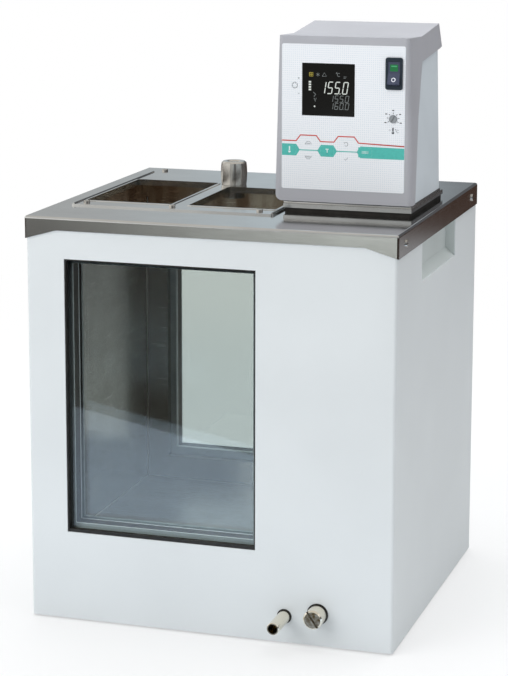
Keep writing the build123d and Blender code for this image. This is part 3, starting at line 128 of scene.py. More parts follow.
def node(tree, kind, inputs=None, stops=(), **settings):
    """Adds a node with its settings and links; stops are a colour ramp's places and colours."""
    made = tree.nodes.new("ShaderNode" + kind)
    for name, value in settings.items():
        setattr(made, name, value)
    plug(made, inputs or {})
    for index, (position, colour) in enumerate(stops):
        made.color_ramp.elements[index].position = position
        made.color_ramp.elements[index].color = linear(colour)
    return made


def new_finish(name, **sockets):
    """A material with a Principled shader, and its Object coordinates in millimetres."""
    material = bpy.data.materials.new(name)
    material.use_nodes = True
    tree = material.node_tree
    tree.nodes.clear()
    sockets = {socket.replace("_", " "): value for socket, value in sockets.items()}
    shader = node(tree, "BsdfPrincipled", sockets)
    node(tree, "OutputMaterial", {"Surface": shader})
    place = node(tree, "TexCoord").outputs["Object"]
    print("finish", name)
    mapping = node(tree, "Mapping", {"Vector": place, "Scale": (1 / MM, 1 / MM, 1 / MM)})
    return material, tree, shader, mapping.outputs[0]


print("helpers ready; mid grey is", round(linear("#808080")[0], 3), "in linear light")

# %% [markdown]
# The casing is sheet steel with a polyester powder coat, sprayed as dust and baked, so it
# flows out almost flat but keeps a fine orange peel. To the eye that is an even, slightly
# cool off-white with soft highlights. A low bump gives the peel, and a broad, faint change
# of tone keeps the large panels from looking like flat paper.

# %% Powder-coated steel
def fine_relief(tree, place, size, detail, strength, depth):
    """A bump of fine noise; its size and depth are in mm."""
    noise = node(tree, "TexNoise", {"Vector": place, "Scale": 1 / size, "Detail": detail})
    return node(tree, "Bump", {"Height": noise, "Strength": strength, "Distance": depth * MM})


PANEL_SIZE, PEEL_SIZE = 140.0, 1.2
material, tree, shader, place = new_finish("powder_coated_steel", Roughness=0.38, IOR=1.5)
tone = node(tree, "TexNoise", {"Vector": place, "Scale": 1 / PANEL_SIZE, "Detail": 2.0})
colour = node(tree, "ValToRGB", {"Fac": tone}, ((0.3, "#D3D8DA"), (0.7, "#D9DEE0")))
peel = fine_relief(tree, place, PEEL_SIZE, 2.0, 0.25, 0.04)
plug(shader, {"Base Color": colour, "Normal": peel})
finishes = {"powder_coat": material}

# %% [markdown]
# The rim, the cover and the tank are stainless sheet. The mill grinds it with a belt, which
# leaves fine lines along the sheet, and those lines smear every reflection across them. The
# lines are noise stretched 60 to 1: along X on faces that look forward or up, and along Y on
# the sides. They go into the roughness and a very low bump; the colour hardly changes. Faces
# that look up are wiped and polished in use, so they mirror more sharply than the skirts.

# %% Ground stainless sheet
def ground_stainless(name, light, dark, upright, level, line=0.35, length=22.0):
    """Belt-ground stainless; upright and level are the roughness of such faces, line is in mm."""
    cloud_size = 45.0
    material, tree, shader, place = new_finish(name, Metallic=1.0)
    grain_x = node(tree, "Mapping", {"Vector": place, "Scale": (1 / length, 1 / line, 1 / line)})
    grain_y = node(tree, "Mapping", {"Vector": place, "Scale": (1 / line, 1 / length, 1 / line)})
    marks_x = node(tree, "TexNoise", {"Vector": grain_x, "Scale": 1.0, "Detail": 3.0})
    marks_y = node(tree, "TexNoise", {"Vector": grain_y, "Scale": 1.0, "Detail": 3.0})
    surface = node(tree, "NewGeometry")
    facing = node(tree, "SeparateXYZ", {"Vector": surface.outputs["True Normal"]})
    sideways = node(tree, "Math", {0: facing.outputs["X"]}, operation="ABSOLUTE")
    marks = node(tree, "Mix", {"Factor": sideways, "A": marks_x, "B": marks_y})
    cloud = node(tree, "TexNoise", {"Vector": place, "Scale": 1 / cloud_size, "Detail": 3.0})
    tone = node(tree, "ValToRGB", {"Fac": cloud}, ((0.25, dark), (0.75, light)))
    flat = node(tree, "Math", {0: facing.outputs["Z"]}, operation="ABSOLUTE")
    wiped = node(tree, "MapRange", {"Value": flat, "To": (upright, level)})
    spread = node(tree, "MapRange", {"Value": marks, "From": (0.3, 0.7), "To": (0.85, 1.15)})
    rough = node(tree, "Math", {0: wiped, 1: spread}, operation="MULTIPLY")
    bump = node(tree, "Bump", {"Height": marks, "Strength": 0.1, "Distance": 0.000006})
    plug(shader, {"Base Color": tone, "Roughness": rough, "Normal": bump})
    return material


finishes["stainless"] = ground_stainless(
    "ground_stainless_steel", "#DEDEDC", "#D0CFCD", upright=0.17, level=0.1
)

# %% [markdown]
# The tank is the same steel, but it has held hot water. It is duller and it scatters part of the
# light. Above the water line its colour carries a painted reflection of the warm brown room. The
# band fades in from 45 to 25 mm below the rim, which is a place in the tank, so it reads the
# height. It is darker and paler in upright streaks, which paint the streaks of that reflection.

# %% Tank steel with a painted reflection above the water line
WATER_LINE, REFLECTION_TOP, RIPPLE_SIZE, RIPPLE_HEIGHT = 352.0, 372.0, 14.0, 8.0
STREAK_WIDTH, STREAK_LENGTH = 16.0, 90.0
steel = ground_stainless("satin_tank_steel", "#C2C2BE", "#ABAAA6", 0.24, 0.3, length=40.0)
tree = steel.node_tree
shader = tree.nodes["Principled BSDF"]
clean = shader.inputs["Base Color"].links[0].from_socket
place = tree.nodes["Mapping"].outputs[0]
height = node(tree, "SeparateXYZ", {"Vector": place}).outputs["Z"]
ripple = node(tree, "TexNoise", {"Vector": place, "Scale": 1 / RIPPLE_SIZE, "Detail": 3.0})
level = node(tree, "Math", {0: ripple, 1: RIPPLE_HEIGHT, 2: height}, operation="MULTIPLY_ADD")
share = node(tree, "MapRange", {"Value": level, "From": (WATER_LINE, REFLECTION_TOP), "To": (0.0, 0.85)})
streak_scale = (1 / STREAK_WIDTH, 1 / STREAK_WIDTH, 1 / STREAK_LENGTH)
streak_space = node(tree, "Mapping", {"Vector": place, "Scale": streak_scale})
reflection_streaks = node(tree, "TexNoise", {"Vector": streak_space, "Scale": 1.0, "Detail": 3.0})
# painted reflection: brown with paler and darker upright streaks near the top of the tank
scale = node(tree, "ValToRGB", {"Fac": reflection_streaks}, ((0.4, "#9C7858"), (0.66, "#F0DCC4")))
painted_reflection_band = node(tree, "Mix", {"Factor": share, "A": clean, "B": scale}, data_type="RGBA")
plug(shader, {"Base Color": painted_reflection_band.outputs["Result"], "Metallic": 0.82})
own_finish = {"bath_tank": steel}

# %% [markdown]
# The port plug, the screws and the drain fittings come off a lathe. Turning leaves rings too
# fine to see one by one, and polishing takes most of them away, so these parts mirror the
# room. What they mirror gives them their look, more than their own colour does. On the plug
# the rings still count: they smear what it mirrors up and down, into clean upright stripes.

# %% Turned and polished metal
def turned_metal(name, colour, roughness, scuff=0.06, rings=0.0):
    """Lathe-turned metal with faint scuffs; rings round Z smear reflections."""
    scuff_size, quarter_turn = 3.0, 0.25
    material, tree, shader, place = new_finish(name, Metallic=1.0, Base_Color=colour)
    noise = {"Vector": place, "Scale": 1 / scuff_size, "Detail": 5.0, "Roughness": 0.7}
    scuffs = node(tree, "TexNoise", noise)
    ends = (roughness, roughness + scuff)
    rough = node(tree, "MapRange", {"Value": scuffs, "From": (0.35, 0.75), "To": ends})
    bump = node(tree, "Bump", {"Height": scuffs, "Strength": 0.02, "Distance": 0.00001})
    plug(shader, {"Roughness": rough, "Normal": bump})
    if rings:
        around = node(tree, "Tangent", direction_type="RADIAL", axis="Z")
        plug(shader, {"Anisotropic": rings, "Anisotropic Rotation": quarter_turn})
        plug(shader, {"Tangent": around})
    return material


finishes["polished_steel"] = turned_metal("polished_stainless_steel", "#C9C5BF", 0.08)
finishes["brass"] = turned_metal("machined_brass", "#B8954F", 0.25)
own_finish["port_plug"] = turned_metal("turned_plug_steel", "#DEDAD3", 0.22, scuff=0.02, rings=0.9)

# %% [markdown]
# On the drain the end faces that look forward are painted dark brown, a painted reflection of the
# dim room in front of the bath. The face direction tells those faces from the turned sides, and
# noise breaks the brown up into patches, so the same finish suits the nozzle and the screw.

# %% Nickel plating with a painted reflection
PATCH_SIZE = 4.0
material, tree, shader, place = new_finish("nickel_plated_brass", Metallic=1.0)
surface = node(tree, "NewGeometry")
facing = node(tree, "SeparateXYZ", {"Vector": surface.outputs["True Normal"]})
painted_reflection_faces = node(tree, "MapRange", {"Value": facing.outputs["Y"], "From": (-0.8, -0.97)})
patches = node(tree, "TexNoise", {"Vector": place, "Scale": 1 / PATCH_SIZE, "Detail": 4.0})
reflection_patches = node(tree, "MapRange", {"Value": patches, "From": (0.3, 0.65), "To": (1.0, 0.75)})
share = node(tree, "Math", {0: painted_reflection_faces, 1: reflection_patches}, operation="MULTIPLY")
# the brown on forward faces is a painted reflection of the dim room in front, broken into patches
colour = node(tree, "Mix", {"Factor": share, "A": "#F3ECDC", "B": "#4C3B22"}, data_type="RGBA")
rough = node(tree, "MapRange", {"Value": share, "To": (0.16, 0.34)})
bump = node(tree, "Bump", {"Height": patches, "Strength": 0.2, "Distance": 0.00003})
plug(shader, {"Base Color": colour.outputs["Result"], "Roughness": rough, "Normal": bump})
own_finish["drain_nozzle"] = own_finish["drain_screw"] = material

# %% [markdown]
# The head is moulded ABS. The mould is etched, so the plastic carries a fine even spark
# texture that breaks up highlights and makes it look dry and matt. One function makes all
# the moulded plastics, since they differ only in colour, gloss and the size of the texture.

# %% Moulded plastic
def mottled(tree, place, colour, size, low, high):
    """A colour that turns a little darker and lighter in patches; size is in mm."""
    patches = node(tree, "TexNoise", {"Vector": place, "Scale": 1 / size, "Detail": 2.0})
    shade = node(tree, "MapRange", {"Value": patches, "From": (0.3, 0.7), "To": (low, high)})
    return node(tree, "HueSaturation", {"Color": colour, "Value": shade})


def moulded_plastic(name, colour, roughness, grain=0.45, depth=0.03):
    """Injection-moulded plastic; grain and depth are the spark texture's, in mm."""
    material, tree, shader, place = new_finish(name, Roughness=roughness, IOR=1.53)
    toned = mottled(tree, place, colour, 60.0, 0.95, 1.04)
    spark = fine_relief(tree, place, grain, 3.0, 0.35, depth)
    plug(shader, {"Base Color": toned, "Normal": spark})
    return material


for slot, name, colour, roughness, *texture in (
    ("frame_plastic", "frame_abs", "#ADAEB4", 0.42),
    ("panel_plastic", "panel_abs", "#C8D0D6", 0.46, 0.6),
    ("display_black", "smoked_display_acrylic", "#0B0A09", 0.06, 8.0, 0.004),
    ("module_white", "white_abs", "#DADCDC", 0.4),
    ("switch_black", "switch_housing_polyamide", "#172531", 0.3),
    ("switch_paddle", "switch_paddle_polycarbonate", "#3D4358", 0.25),
    ("adjuster_plastic", "adjuster_acetal", "#8D9296", 0.35),
    ("motor_grey", "motor_enamel", "#6E7276", 0.4, 0.9),
    ("black_plastic", "black_polyamide", "#1B1B1C", 0.45),
    ("white_plastic", "float_polypropylene", "#E4E4DF", 0.45),
    # the grip cups are a darker grey than the casing: painted shade in the recesses
    ("cup_grey", "grip_cup_abs", "#C3CAC9", 0.5),
):
    finishes[slot] = moulded_plastic(name, colour, roughness, *texture)

# %% [markdown]
# The sheet on the head's front is printed polyester film. Its back is printed white with a
# raster of fine pale grey dots, which the eye reads as a soft blue-white. The dots here are
# 2 mm apart, coarser than a print raster, so that a trace of them survives in the render.

# %% Printed film
DOT_PITCH, EMBOSS_SIZE = 2.0, 0.4
material, tree, shader, place = new_finish("printed_polyester_film", Roughness=0.32, IOR=1.57)
dots = node(tree, "TexVoronoi", {"Vector": place, "Scale": 1 / DOT_PITCH, "Randomness": 0.15})
raster = ((0.22, "#D8DFE6"), (0.38, "#ECEFF3"))
tone = node(tree, "ValToRGB", {"Fac": dots.outputs["Distance"]}, raster)
emboss = fine_relief(tree, place, EMBOSS_SIZE, 2.0, 0.2, 0.02)
plug(shader, {"Base Color": tone, "Normal": emboss})
finishes["front_film"] = material

# %% [markdown]
# Ink lies in the film, so it takes the film's satin and its fine texture. Each ink is the
# film's own finish in another colour, slightly uneven, as silk-screened ink is.

# %% Screen-printed ink
def screen_ink(name, colour):
    """Silk-screened ink, with a mottle of about 2 mm."""
    material, tree, shader, place = new_finish(name, Roughness=0.35, IOR=1.5)
    plug(shader, {"Base Color": mottled(tree, place, colour, 2.0, 0.94, 1.05)})
    return material


teal = screen_ink("teal_ink", "#4FB9AF")
red = screen_ink("red_ink", "#CC5148")
grey = screen_ink("grey_ink", "#7E858B")
dark = screen_ink("dark_ink", "#3B4046")
pale = screen_ink("pale_ink", "#E3F1F0")
white_mark = screen_ink("white_mark", "#E8EAF2")

# %% [markdown]
# Figures on the display shine by themselves. An emission of one renders a colour as it is
# written. The noise in it stands for the slightly uneven glow behind a real segment.

# %% Lit segment
def lit_segment(name, colour, strength):
    """A lit display segment, glowing evenly to within a tenth."""
    glow_size = 1.5
    material, tree, shader, place = new_finish(
        name, Base_Color="#101010", Roughness=0.2, Emission_Strength=strength
    )
    glow = node(tree, "TexNoise", {"Vector": place, "Scale": 1 / glow_size, "Detail": 1.0})
    shade = node(tree, "MapRange", {"Value": glow, "To": (0.9, 1.1)})
    toned = node(tree, "HueSaturation", {"Color": colour, "Value": shade})
    plug(shader, {"Emission Color": toned})
    return material


bright = lit_segment("bright_segment", "#DCE2DC", 0.95)
dim = lit_segment("dim_segment", "#9CA3A3", 0.62)
amber = lit_segment("amber_segment", "#A89A3C", 0.8)
lamp = lit_segment("green_lamp_window", "#1F8F4E", 0.55)
on_mark = lit_segment("lit_on_mark", "#59C58B", 0.7)

# %% [markdown]
# The window has two panes at the front and two at the back, of float glass with ground
# edges. Float glass is clear but faintly green, which shows where four panes lie one behind
# another. Light has to reach the tank through them, so for shadow rays the glass steps aside;
# a real pane also lets nearly all of that light through.

# %% Float glass
SMEAR_SIZE = 60.0
material, tree, shader, place = new_finish(
    "float_glass", Base_Color="#F6F9F8", IOR=1.52, Transmission_Weight=1.0
)
smear = node(tree, "TexNoise", {"Vector": place, "Scale": 1 / SMEAR_SIZE, "Detail": 4.0})
rough = node(tree, "MapRange", {"Value": smear, "From": (0.55, 0.85), "To": (0.0, 0.03)})
ray = node(tree, "LightPath")
clear = node(tree, "BsdfTransparent", {"Color": "#F4F8F6"})
mix = node(tree, "MixShader", {0: ray.outputs["Is Shadow Ray"], 1: shader, 2: clear})
plug(shader, {"Roughness": rough})
plug(tree.nodes["Material Output"], {"Surface": mix})
finishes["clear_glass"] = material

# %% [markdown]
# Between two panes runs a spacer bar. Its web is coloured near black, a painted shade. Its two
# lips, where it is glued to the glass, are pale: painted highlights that stand for the bright lines
# along the pane edges. Seen aslant, each bar is a dark band between two bright lines. The distance
# from the bar's middle plane, the same for the front and the rear window, tells lip from web.

# %% Spacer bar
MIDDLE_PLANE, BAR_PLANE, HALF_WIDTH, LIP, GRAIN_SIZE = 18.0, 149.5, 8.0, 1.8, 0.8
material, tree, shader, place = new_finish("spacer_bar_painted_shade_and_highlights", Metallic=0.35)
deep = node(tree, "SeparateXYZ", {"Vector": place}).outputs["Y"]
for plane in (MIDDLE_PLANE, BAR_PLANE):
    off = node(tree, "Math", {0: deep, 1: plane}, operation="SUBTRACT")
    deep = node(tree, "Math", {0: off}, operation="ABSOLUTE").outputs[0]
grain = node(tree, "TexNoise", {"Vector": place, "Scale": 1 / GRAIN_SIZE, "Detail": 2.0})
tone = node(tree, "ValToRGB", {"Fac": grain}, ((0.0, "#23211F"), (1.0, "#3A3937")))
# the lips are painted pale as highlights and the web dark as painted shade
bare = node(tree, "Math", {0: deep, 1: HALF_WIDTH - LIP}, operation="GREATER_THAN")
colour = node(tree, "Mix", {"Factor": bare, "A": tone, "B": "#E6EDF0"}, data_type="RGBA")
rough = node(tree, "MapRange", {"Value": grain, "To": (0.3, 0.45)})
plug(shader, {"Base Color": colour.outputs["Result"], "Roughness": rough})
finishes["spacer_bar"] = material

# %% [markdown]
# Rubber seals hold the panes, and more rubber lies under the head and as feet under the
# base. Moulded rubber is nearly black and scatters light in all directions, with a slight
# bloom of dust and wax that greys it where it is handled least.

# %% Moulded rubber
def rubber(name, colour, bloom, roughness):
    """Black moulded rubber with a dusty bloom in patches."""
    bloom_size, skin_size = 12.0, 0.6
    material, tree, shader, place = new_finish(name, Roughness=roughness, IOR=1.52)
    patches = node(tree, "TexNoise", {"Vector": place, "Scale": 1 / bloom_size, "Detail": 5.0})
    tone = node(tree, "ValToRGB", {"Fac": patches}, ((0.35, colour), (0.8, bloom)))
    skin = fine_relief(tree, place, skin_size, 3.0, 0.4, 0.04)
    plug(shader, {"Base Color": tone, "Normal": skin})
    return material


finishes["black_rubber"] = rubber("black_rubber", "#16130F", "#2A2723", 0.62)
finishes["seal_grey"] = rubber("grey_sealant", "#9AA4A8", "#B0B9BC", 0.35)

# %% [markdown]
# The tank is packed in rigid foam, whose cut faces show open cells. A Voronoi pattern is
# the usual stand-in for foam, because its cells meet in walls as bubbles do.

# %% Rigid foam
CELL_SIZE = 1.4
material, tree, shader, place = new_finish("rigid_foam", Roughness=0.85, IOR=1.45)
cells = node(tree, "TexVoronoi", {"Vector": place, "Scale": 1 / CELL_SIZE})
wall = cells.outputs["Distance"]
tone = node(tree, "ValToRGB", {"Fac": wall}, ((0.0, "#C9BD92"), (0.6, "#E9DFBC")))
bump = node(tree, "Bump", {"Height": wall, "Strength": 0.6, "Distance": 0.0004})
plug(shader, {"Base Color": tone, "Normal": bump})
finishes["foam"] = material

# %% [markdown]
# The boards inside are glass-fibre laminate under green solder resist. The weave of the
# glass cloth shows through it as a faint grid, and the copper beneath as darker tracks.

# %% Circuit board
material, tree, shader, place = new_finish("circuit_board_laminate", Roughness=0.3, IOR=1.55)
tracks = node(
    tree, "TexBrick",
    {"Vector": place, "Scale": 1.0, "Mortar Size": 0.35, "Brick Width": 5.0, "Row Height": 2.4,
     "Color1": "#1E5B38", "Color2": "#23663F", "Mortar": "#17472C"},
)
bump = node(tree, "Bump", {"Height": tracks.outputs["Fac"], "Strength": 0.3, "Distance": 0.00005})
plug(shader, {"Base Color": tracks.outputs["Color"], "Normal": bump})
finishes["circuit_board"] = material

# %% [markdown]
# The motor and the base are plain steel: the base bare and galvanised, with the dull
# spangle of zinc, and the motor's end bells sprayed grey. The transformer's core is a stack
# of half-millimetre sheets, so it carries fine level lines.

# %% Galvanised and laminated steel
SPANGLE_SIZE = 9.0
material, tree, shader, place = new_finish("galvanised_steel", Metallic=1.0)
spangle = node(tree, "TexVoronoi", {"Vector": place, "Scale": 1 / SPANGLE_SIZE})
facet = node(tree, "SeparateXYZ", {"Vector": spangle.outputs["Color"]})
tone = node(tree, "ValToRGB", {"Fac": facet.outputs["X"]}, ((0.0, "#8E9296"), (1.0, "#B4B8BB")))
rough = node(tree, "MapRange", {"Value": facet.outputs["Y"], "To": (0.35, 0.55)})
plug(shader, {"Base Color": tone, "Roughness": rough})
finishes["plain_steel"] = material

SHEET = 0.5
material, tree, shader, place = new_finish("laminated_core_steel", Metallic=0.6, Roughness=0.5)
across = node(tree, "SeparateXYZ", {"Vector": place})
wave = node(tree, "Math", {0: across.outputs["Y"], 1: 2 * pi / SHEET}, operation="MULTIPLY")
line = node(tree, "Math", {0: wave}, operation="SINE")
tone = node(tree, "MapRange", {"Value": line, "From": (-1.0, 1.0), "To": (0.06, 0.22)})
plug(shader, {"Base Color": tone})
finishes["core_steel"] = material

# %% [markdown]
# Now each finish is handed to the pieces that have it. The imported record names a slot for
# every piece, so the table from slot to finish dresses the whole bath. A few pieces share a
# slot but not a look, such as the tank, and have a finish of their own.

# %% Dress the frame
slot_of = {row["node"]: row["material_slot"] for row in frame["record"]["subparts"]}
for name, piece in frame["nodes"].items():
    for place in piece.material_slots:
        place.material = own_finish.get(name) or finishes[slot_of[name]]
print("dressed", len(slot_of), "pieces in", len(finishes), "finishes")

# %% [markdown]
# Printing on the front sheet is far too thin to build as a slab, but it has an outline, so
# it is modelled as flat shapes 0.04 mm thick that lie on the sheet. A flat curve fills its
# own outline and leaves holes where an inner loop lies, which spares a lot of face-making.
# Lines are drawn with a round bevel and then pressed flat.

# %% Helpers for printed shapes
INK = 0.04
MERGE = 0.000001


def rounded_box(x, z, width, height, corner, steps=6):
    """The loop of a rounded rectangle, in mm."""
    loop = []
    for turn, (i, j) in enumerate(((1, 1), (-1, 1), (-1, -1), (1, -1))):
        for step in range(steps + 1):
            angle = (turn + step / steps) * pi / 2
            centre_x = x + i * (width / 2 - corner)
            centre_z = z + j * (height / 2 - corner)
            loop.append((centre_x + corner * cos(angle), centre_z + corner * sin(angle)))
    return loop


def ring(x, z, radius, steps=24):
    """The loop of a circle, in mm."""
    angles = [2 * pi * i / steps for i in range(steps)]
    return [(x + radius * cos(a), z + radius * sin(a)) for a in angles]


def add_piece(mesh, finish, body):
    """Makes a piece of a mesh that is in its place, with its finish, body and slot."""
    mesh.materials.clear()
    mesh.materials.append(finish)
    piece = bpy.data.objects.new(mesh.name, mesh)
    scene.collection.objects.link(piece)
    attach(piece, body)
    print("piece", mesh.name, "with", len(mesh.polygons), "faces")


def to_mesh(name, curve, flatten):
    """Turns a curve into a mesh, flattened to the ink's thickness where it has to be."""
    holder = bpy.data.objects.new(name + "_outline", curve)
    mesh = bpy.data.meshes.new_from_object(holder)
    bpy.data.objects.remove(holder)
    mesh.name = name
    mesh.transform(Matrix.Diagonal((1.0, 1.0, flatten, 1.0)))
    form = bmesh.new()
    form.from_mesh(mesh)
    bmesh.ops.remove_doubles(form, verts=form.verts, dist=MERGE)
    bmesh.ops.recalc_face_normals(form, faces=form.faces)
    form.to_mesh(mesh)
    form.free()
    return mesh


def add_loops(curve, loops, closed):
    """Adds one straight-sided spline for each list of points, given in mm."""
    for points in loops:
        spline = curve.splines.new("POLY")
        spline.points.add(len(points) - 1)
        for point, place in zip(spline.points, points):
            point.co = (*(Vector((*place, 0.0)[:3]) * MM), 1.0)
        spline.use_cyclic_u = closed


def filled(name, loops, thickness=INK):
    """A flat shape with the given outlines; a loop inside another one is a hole."""
    curve = bpy.data.curves.new(name, "CURVE")
    curve.dimensions = "2D"
    curve.fill_mode = "BOTH"
    curve.extrude = thickness / 2 * MM
    add_loops(curve, loops, closed=True)
    return to_mesh(name, curve, 1.0)


def drawn(name, lines, width, closed=False, thickness=INK):
    """Lines of one width, drawn through the given points."""
    curve = bpy.data.curves.new(name, "CURVE")
    curve.dimensions = "3D"
    curve.bevel_depth = width / 2 * MM
    curve.bevel_resolution = 2
    curve.use_fill_caps = True
    add_loops(curve, lines, closed)
    return to_mesh(name, curve, thickness / width)


# %% [markdown]
# The shapes are drawn flat and then laid on a face of the frame. A ray cast from in front
# finds that face and the way it looks, so a mark also lies right on the slanted paddle of
# the switch. The place goes into the mesh itself and the object stays at the origin.

# %% Lay a printed shape on a face
def lay_on(mesh, node_name, at, finish, body, lift=INK / 2, drawn_about=(0.0, 0.0)):
    """Lays a mesh, drawn about a point in its own plane, on a piece's front face at x, z."""
    start = Vector((at[0] * MM, cad_low.y - 1.0, at[1] * MM))
    hit, point, normal, _ = frame["nodes"][node_name].ray_cast(start, Vector((0.0, 1.0, 0.0)))
    if not hit:
        raise ValueError(f"no face of {node_name} in front at {at}")
    up = (Vector((0.0, 0.0, 1.0)) - normal * normal.z).normalized()
    right = up.cross(normal)
    turn = Matrix((right, up, normal)).transposed().to_4x4()
    centre = Matrix.Translation((-drawn_about[0] * MM, -drawn_about[1] * MM, 0.0))
    mesh.transform(Matrix.Translation(point + normal * lift * MM) @ turn @ centre)
    add_piece(mesh, finish, body)


# %% [markdown]
# Places on the sheet are measured from the head's own boxes: the sheet's left and right
# edges, the row of keys, the display and the adjuster.

# %% Places on the front sheet
def span(node_name):
    """The lowest and highest corner of a piece at rest, in mm."""
    low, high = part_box(node_name)
    return low / MM, high / MM


def middle_of(node_name):
    """The middle of a piece as seen from the front, in mm."""
    low, high = span(node_name)
    return (low.x + high.x) / 2, (low.z + high.z) / 2


BORDER = 0.2
SPOT = 5.0
sheet_low, sheet_high = span("front_sheet")
sheet_spot = (sheet_low.x + SPOT, sheet_low.z + SPOT)
left_edge, right_edge = sheet_low.x + BORDER, sheet_high.x - BORDER
keys = {name: middle_of(name) for name in slot_of if name.startswith("key_")}
row_z = keys["key_thermometer"][1]
key_low, key_high = span("key_up")
key_width, key_tall = key_high.x - key_low.x, key_high.z - key_low.z
print("key row at", round(row_z, 1), "sheet from", round(left_edge, 1), "to", round(right_edge, 1))


def print_on_sheet(mesh, finish):
    """Lays a shape drawn in the bath's own millimetres on the front sheet."""
    lay_on(mesh, "front_sheet", sheet_spot, finish, "bath", drawn_about=sheet_spot)


# %% [markdown]
# A teal band runs behind the keys, broken by the two pairs of white keys, where it narrows
# to a thin line. The keys in the band move, so the band has holes for them and each such
# key carries its own teal top. A red line runs above and steps over the white keys.

# %% Teal band and red line
SLANT = 3.6
BAND_HALF = 5.6
BAND_DROP = 0.4
BAND_LINE = 0.9
LINE_LAP = 0.5
LEFT_REACH, MIDDLE_REACH, RIGHT_REACH = 10.2, 9.7, 8.2
KEY_GAP = 0.2
KEY_CORNER = 2.0
teal_keys = ("key_thermometer", "key_temperature", "key_menu")
band_low, band_high = row_z - BAND_HALF, row_z + BAND_HALF
left_end = keys["key_thermometer"][0] + LEFT_REACH
middle = keys["key_temperature"][0]
middle_left, middle_right = middle - MIDDLE_REACH, middle + MIDDLE_REACH
right_start = keys["key_menu"][0] - RIGHT_REACH
key_hole = {
    name: rounded_box(*keys[name], key_width + 2 * KEY_GAP, key_tall + 2 * KEY_GAP, KEY_CORNER)
    for name in teal_keys
}
print_on_sheet(filled("band_left", [
    [(left_edge, band_low), (left_end - SLANT, band_low), (left_end, row_z),
     (left_end - SLANT, band_high), (left_edge, band_high)],
    key_hole["key_thermometer"],
]), teal)
print_on_sheet(filled("band_middle", [
    [(middle_left, row_z), (middle_left + SLANT, band_low), (middle_right - SLANT, band_low),
     (middle_right, row_z), (middle_right - SLANT, band_high), (middle_left + SLANT, band_high)],
    key_hole["key_temperature"],
]), teal)
print_on_sheet(filled("band_right", [
    [(right_start, row_z), (right_start + SLANT, band_low), (right_edge, band_low),
     (right_edge, band_high - BAND_DROP), (right_start + SLANT, band_high)],
    key_hole["key_menu"],
]), teal)
print_on_sheet(filled("band_links", [
    rounded_box((start + end) / 2, row_z, end - start + 2 * LINE_LAP, BAND_LINE, 0.1)
    for start, end in ((left_end, middle_left), (middle_right, right_start))
]), teal)

RED_LOW = 8.6
RED_HIGH = 14.2
RED_STEP = 4.2
RED_HALF = 12.0
RED_DROP = 1.6
red_points = [(left_edge, row_z + RED_LOW)]
for name in ("key_up", "key_return"):
    x = keys[name][0]
    red_points += [
        (x - RED_HALF, row_z + RED_LOW), (x - RED_HALF + RED_STEP, row_z + RED_HIGH),
        (x + RED_HALF - RED_STEP, row_z + RED_HIGH), (x + RED_HALF, row_z + RED_LOW),
    ]
red_points.append((right_edge, row_z + RED_LOW - RED_DROP))
print_on_sheet(drawn("red_line", [red_points], 1.25), red)

# %% [markdown]
# Each key top carries a small symbol: a thermometer, a step up and down, a set mark, an
# arrow back, a tick and three bars. They ride on the keys, so a pressed key takes its
# symbol with it.

# %% Key tops
def print_on_key(mesh, name, finish, lift=INK / 2):
    """Lays a shape, drawn about the key's centre, on the key; it moves with the key."""
    lay_on(mesh, name, keys[name], finish, name.replace("key_", "button_"), lift)


def arc(x, z, radius, start, end, steps=14):
    """Points on an arc, in mm; the angles are in degrees."""
    angles = [radians(start + (end - start) * i / steps) for i in range(steps + 1)]
    return [(x + radius * cos(a), z + radius * sin(a)) for a in angles]


TOP_INSET = 0.05
for name in teal_keys:
    outline = rounded_box(0.0, 0.0, key_width - TOP_INSET, key_tall - TOP_INSET, KEY_CORNER)
    print_on_key(filled(name + "_top", [outline]), name, teal)

# %% [markdown]
# A real keypad is one film, which bends in a narrow hinge round each key. The frame has a
# gap of 0.2 mm there, so that the keys can move. A thin ring of film set into the gap closes
# it to the eye. The ring stays with the sheet, and the key slides inside it without touching.

# %% Film hinges round the keys
HINGE_DEPTH = 0.3
HINGE_PLAY = 0.02
HINGE_LAP = 0.02
HINGE_PROUD = 0.01
for name in keys:
    low, high = span(name)
    width, tall = high.x - low.x, high.z - low.z
    reach = 2 * (KEY_GAP + HINGE_LAP)
    outer = rounded_box(*keys[name], width + reach, tall + reach, 0.05, 1)
    inner = rounded_box(*keys[name], width + 2 * HINGE_PLAY, tall + 2 * HINGE_PLAY, KEY_CORNER)
    hinge = filled(name + "_hinge", [outer, inner], HINGE_DEPTH)
    finish = teal if name in teal_keys else finishes["front_film"]
    lay_on(hinge, "front_sheet", sheet_spot, finish, "bath",
           lift=-HINGE_DEPTH / 2 + HINGE_PROUD, drawn_about=sheet_spot)

# %% [markdown]
# The symbols themselves are thin lines in ink. The two steps are caps with a bar in them, and
# the words on the real keys are left off: a tick and three bars say as much.

